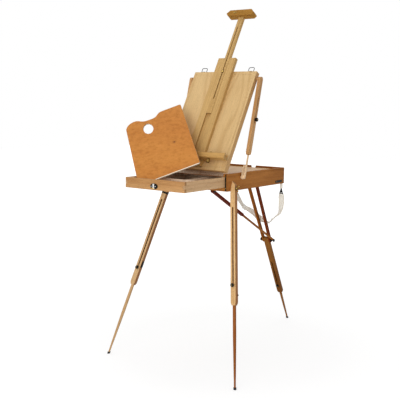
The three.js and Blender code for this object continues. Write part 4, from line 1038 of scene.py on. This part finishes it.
def make_slider(p, along, wide):
    """A wire slider with a cross bar, round the webbing."""
    slider = Shape()
    base = Matrix((wide, along, wide.cross(along))).transposed().to_4x4()
    base.translation = p
    loop = [Vector((x * MM, y * MM, 0)) for x, y in oblong(33, 20, 4, 4)]
    slider.add(*tube(loop, 1.5 * MM, 10, closed=True), base)
    bar = [Vector((s * 16.5 * MM, 0, 0.4 * MM)) for s in (-1, -0.5, 0, 0.5, 1)]
    slider.add(*tube(bar, 1.3 * MM), base)
    slider.piece("carry_strap_slider", "box", "bright_steel", [STEEL])


def make_hangers():
    """A sewn loop round each ring's stem, and a black patch in the ring above the strap."""
    loop = [(x, 768.6 + z) for x, z in oblong(11.5, 25.5, 1.6, 3)]
    patch = [(-8.6, 735.5), (8.6, 735.5), (2.2, 753), (-2.2, 753)]
    hangers = Shape()
    for ring in RINGS:
        a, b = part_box(ring)
        hang = stand(((a.x + b.x) / 2, (a.y + b.y) / 2, 0), -Y, X)
        hangers.add(*slab(loop, -3.4, 3.4, 0.9), hang, 0)
        hangers.add(*slab(patch, -1.6, 1.6, 0.5), hang, 1)
    hangers.piece("strap_hangers", "box", "webbing", [COTTON, BLACK])


strap_rows = strap_line()
make_webbing(strap_rows)
make_slider(*strap_rows[STRAP_STEPS * SLIDER_POINT][:3])
make_hangers()


# ---------------------------------------------------------------- small fittings

WALL_PLATE_BACK, WALL_PLATE_UP = 0.4275, 0.0126  # metres, from the box's front and underside


def make_box_fittings():
    """The black plate and strips on the box, and the screws in its plates and hinge."""
    low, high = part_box("box_wall_right")
    box = Shape()
    # a black plate low on the rear of the right wall
    plate = stand((high.x, FRONT + WALL_PLATE_BACK, low.z + WALL_PLATE_UP), X, Y)
    box.add(*slab(oblong(60, 11.0, 2.4, 3), 0, 1.4, 0.35), plate, 0)
    for s in (-1, 1):
        screw(box, plate @ Vector((s * 22 * MM, 0, 1.2 * MM)), X, 1.9, 1, 0.3 * s)
    # dark strips on the front ends of both walls, where the drawer closes
    for s in (-1, 1):
        strip = stand((s * (high.x - 8.6 * MM), FRONT, (low.z + high.z) / 2), -Y, Z)
        box.add(*slab(oblong(72, 5.4, 1.2, 2), -0.2, 1.3, 0.3), strip, 0)
        for k in (-1, 0, 1):
            screw(box, strip @ Vector((k * 25 * MM, 0, 1.1 * MM)), -Y, 1.6, 1, 0.8 + k)
    # screws in the rear wall's plates that hold the strap's rings
    for ring in RINGS:
        a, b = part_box(ring)
        for s in (-1, 1):
            spot = ((a.x + b.x) / 2 + s * 5.5 * MM, a.y + 1.7 * MM, b.z - 3.6 * MM)
            screw(box, spot, Y, 1.8, 1, s)
    # screws in the flange of the stay's bracket
    a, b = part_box("stay_bracket")
    for s in (-1, 1):
        spot = ((a.x + b.x) / 2 + s * ((b.x - a.x) / 2 - 4.4 * MM), (a.y + b.y) / 2, b.z - 2.0 * MM)
        screw(box, spot, -Z, 2.0, 1, 0.5 + s)
    # screws in the box's leaf of the lid hinge
    a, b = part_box("lid_hinge_box_leaf")
    for k in range(6):
        spot = (a.x + (b.x - a.x) * (k + 0.5) / 6, FRONT - 1.25 * MM, b.z - 8.8 * MM)
        screw(box, spot, -Y, 1.9, 1, k)
    box.piece("box_fittings", "box", "black_metal", [BLACK, BRASS, IRON])


HEAD_PLATE_ASIDE = -0.027  # metres from the mast's middle


def make_head_plate():
    """The small bright plate on the mast head's face, with two screws."""
    points = points_of("mast_head")
    face = max(p.dot(LID_OUT) for p in points)
    rise = [p.dot(LID_UP) for p in points if p.dot(LID_OUT) > face - 1 * MM]
    middle = LID_OUT * face + LID_UP * ((min(rise) + max(rise)) / 2) + X * HEAD_PLATE_ASIDE
    plate = stand(middle, LID_OUT, X)
    fitting = Shape()
    fitting.add(*slab(oblong(17, 7, 2.5, 4), -0.2, 1.0, 0.3), plate, 0)
    for s in (-1, 1):
        screw(fitting, plate @ Vector((s * 5.4 * MM, 0, 0.8 * MM)), LID_OUT, 1.7, 0, s)
    fitting.piece("mast_head_plate", "mast", "bright_steel", [BRASS, IRON])


DOME_NUT = [(0, -2.4), (5.6, -2.4), (5.8, -1.2), (5.0, 0.6), (3.2, 2.2), (1.4, 2.8), (0, 2.9)]


def make_dome_nut():
    """The brass dome nut on the front end of the mast clamp's screw."""
    tip = extent("mast_clamp_screw", LID_OUT)[1]
    pivot = pivot_of("mast_clamp_turn")
    end = stand(pivot + LID_OUT * (tip - pivot.dot(LID_OUT)), LID_OUT, X)
    Shape().add(*turned(DOME_NUT, 20), end).piece(
        "mast_clamp_nut", BODY_OF["mast_clamp_screw"], "brass_pull", [BRASS])


make_box_fittings()
make_head_plate()
make_dome_nut()

SHADOW_SLEEVE_LENGTH, SHADOW_SLEEVE_THICK = 14 * MM, 0.45 * MM  # black sleeves that paint the box's shadow on the rails: a sleeve's length, and how far it lies off its rail


def make_rail_shadow_sleeves():
    """Black sleeves on the upper ends of the rear leg's rails, drawn off the rails: painted shadow, where the
    rails come out from under the box.
    """
    down = axis_of("rear_leg_extend")
    for name in ("left", "right"):
        shadow_sleeve = bmesh.new()
        shadow_sleeve.from_mesh(frame["nodes"][f"rear_leg_rail_{name}"].data)
        bmesh.ops.remove_doubles(shadow_sleeve, verts=shadow_sleeve.verts, dist=WELD)
        top = max(v.co.z for v in shadow_sleeve.verts)
        cut = (0, pivot_of("rear_leg_fold").y, top - SHADOW_SLEEVE_LENGTH)
        bmesh.ops.bisect_plane(shadow_sleeve, geom=shadow_sleeve.verts[:] + shadow_sleeve.edges[:] + shadow_sleeve.faces[:],
                               plane_co=cut, plane_no=down, clear_inner=True)
        bmesh.ops.holes_fill(shadow_sleeve, edges=[e for e in shadow_sleeve.edges if e.is_boundary])
        bmesh.ops.recalc_face_normals(shadow_sleeve, faces=shadow_sleeve.faces)
        middle = sum((v.co for v in shadow_sleeve.verts), Vector()) / len(shadow_sleeve.verts)
        for v in shadow_sleeve.verts:
            away = v.co - middle
            v.co += Vector((math.copysign(SHADOW_SLEEVE_THICK, away.x), math.copysign(SHADOW_SLEEVE_THICK, away.y), 0))
        shadow_sleeve.verts.ensure_lookup_table()
        shape = Shape().add([v.co.copy() for v in shadow_sleeve.verts],
                            [[v.index for v in f.verts] for f in shadow_sleeve.faces])
        shadow_sleeve.free()
        shape.piece(f"rear_leg_rail_{name}_cap", "rear_leg", "black_metal", [BLACK])


make_rail_shadow_sleeves()
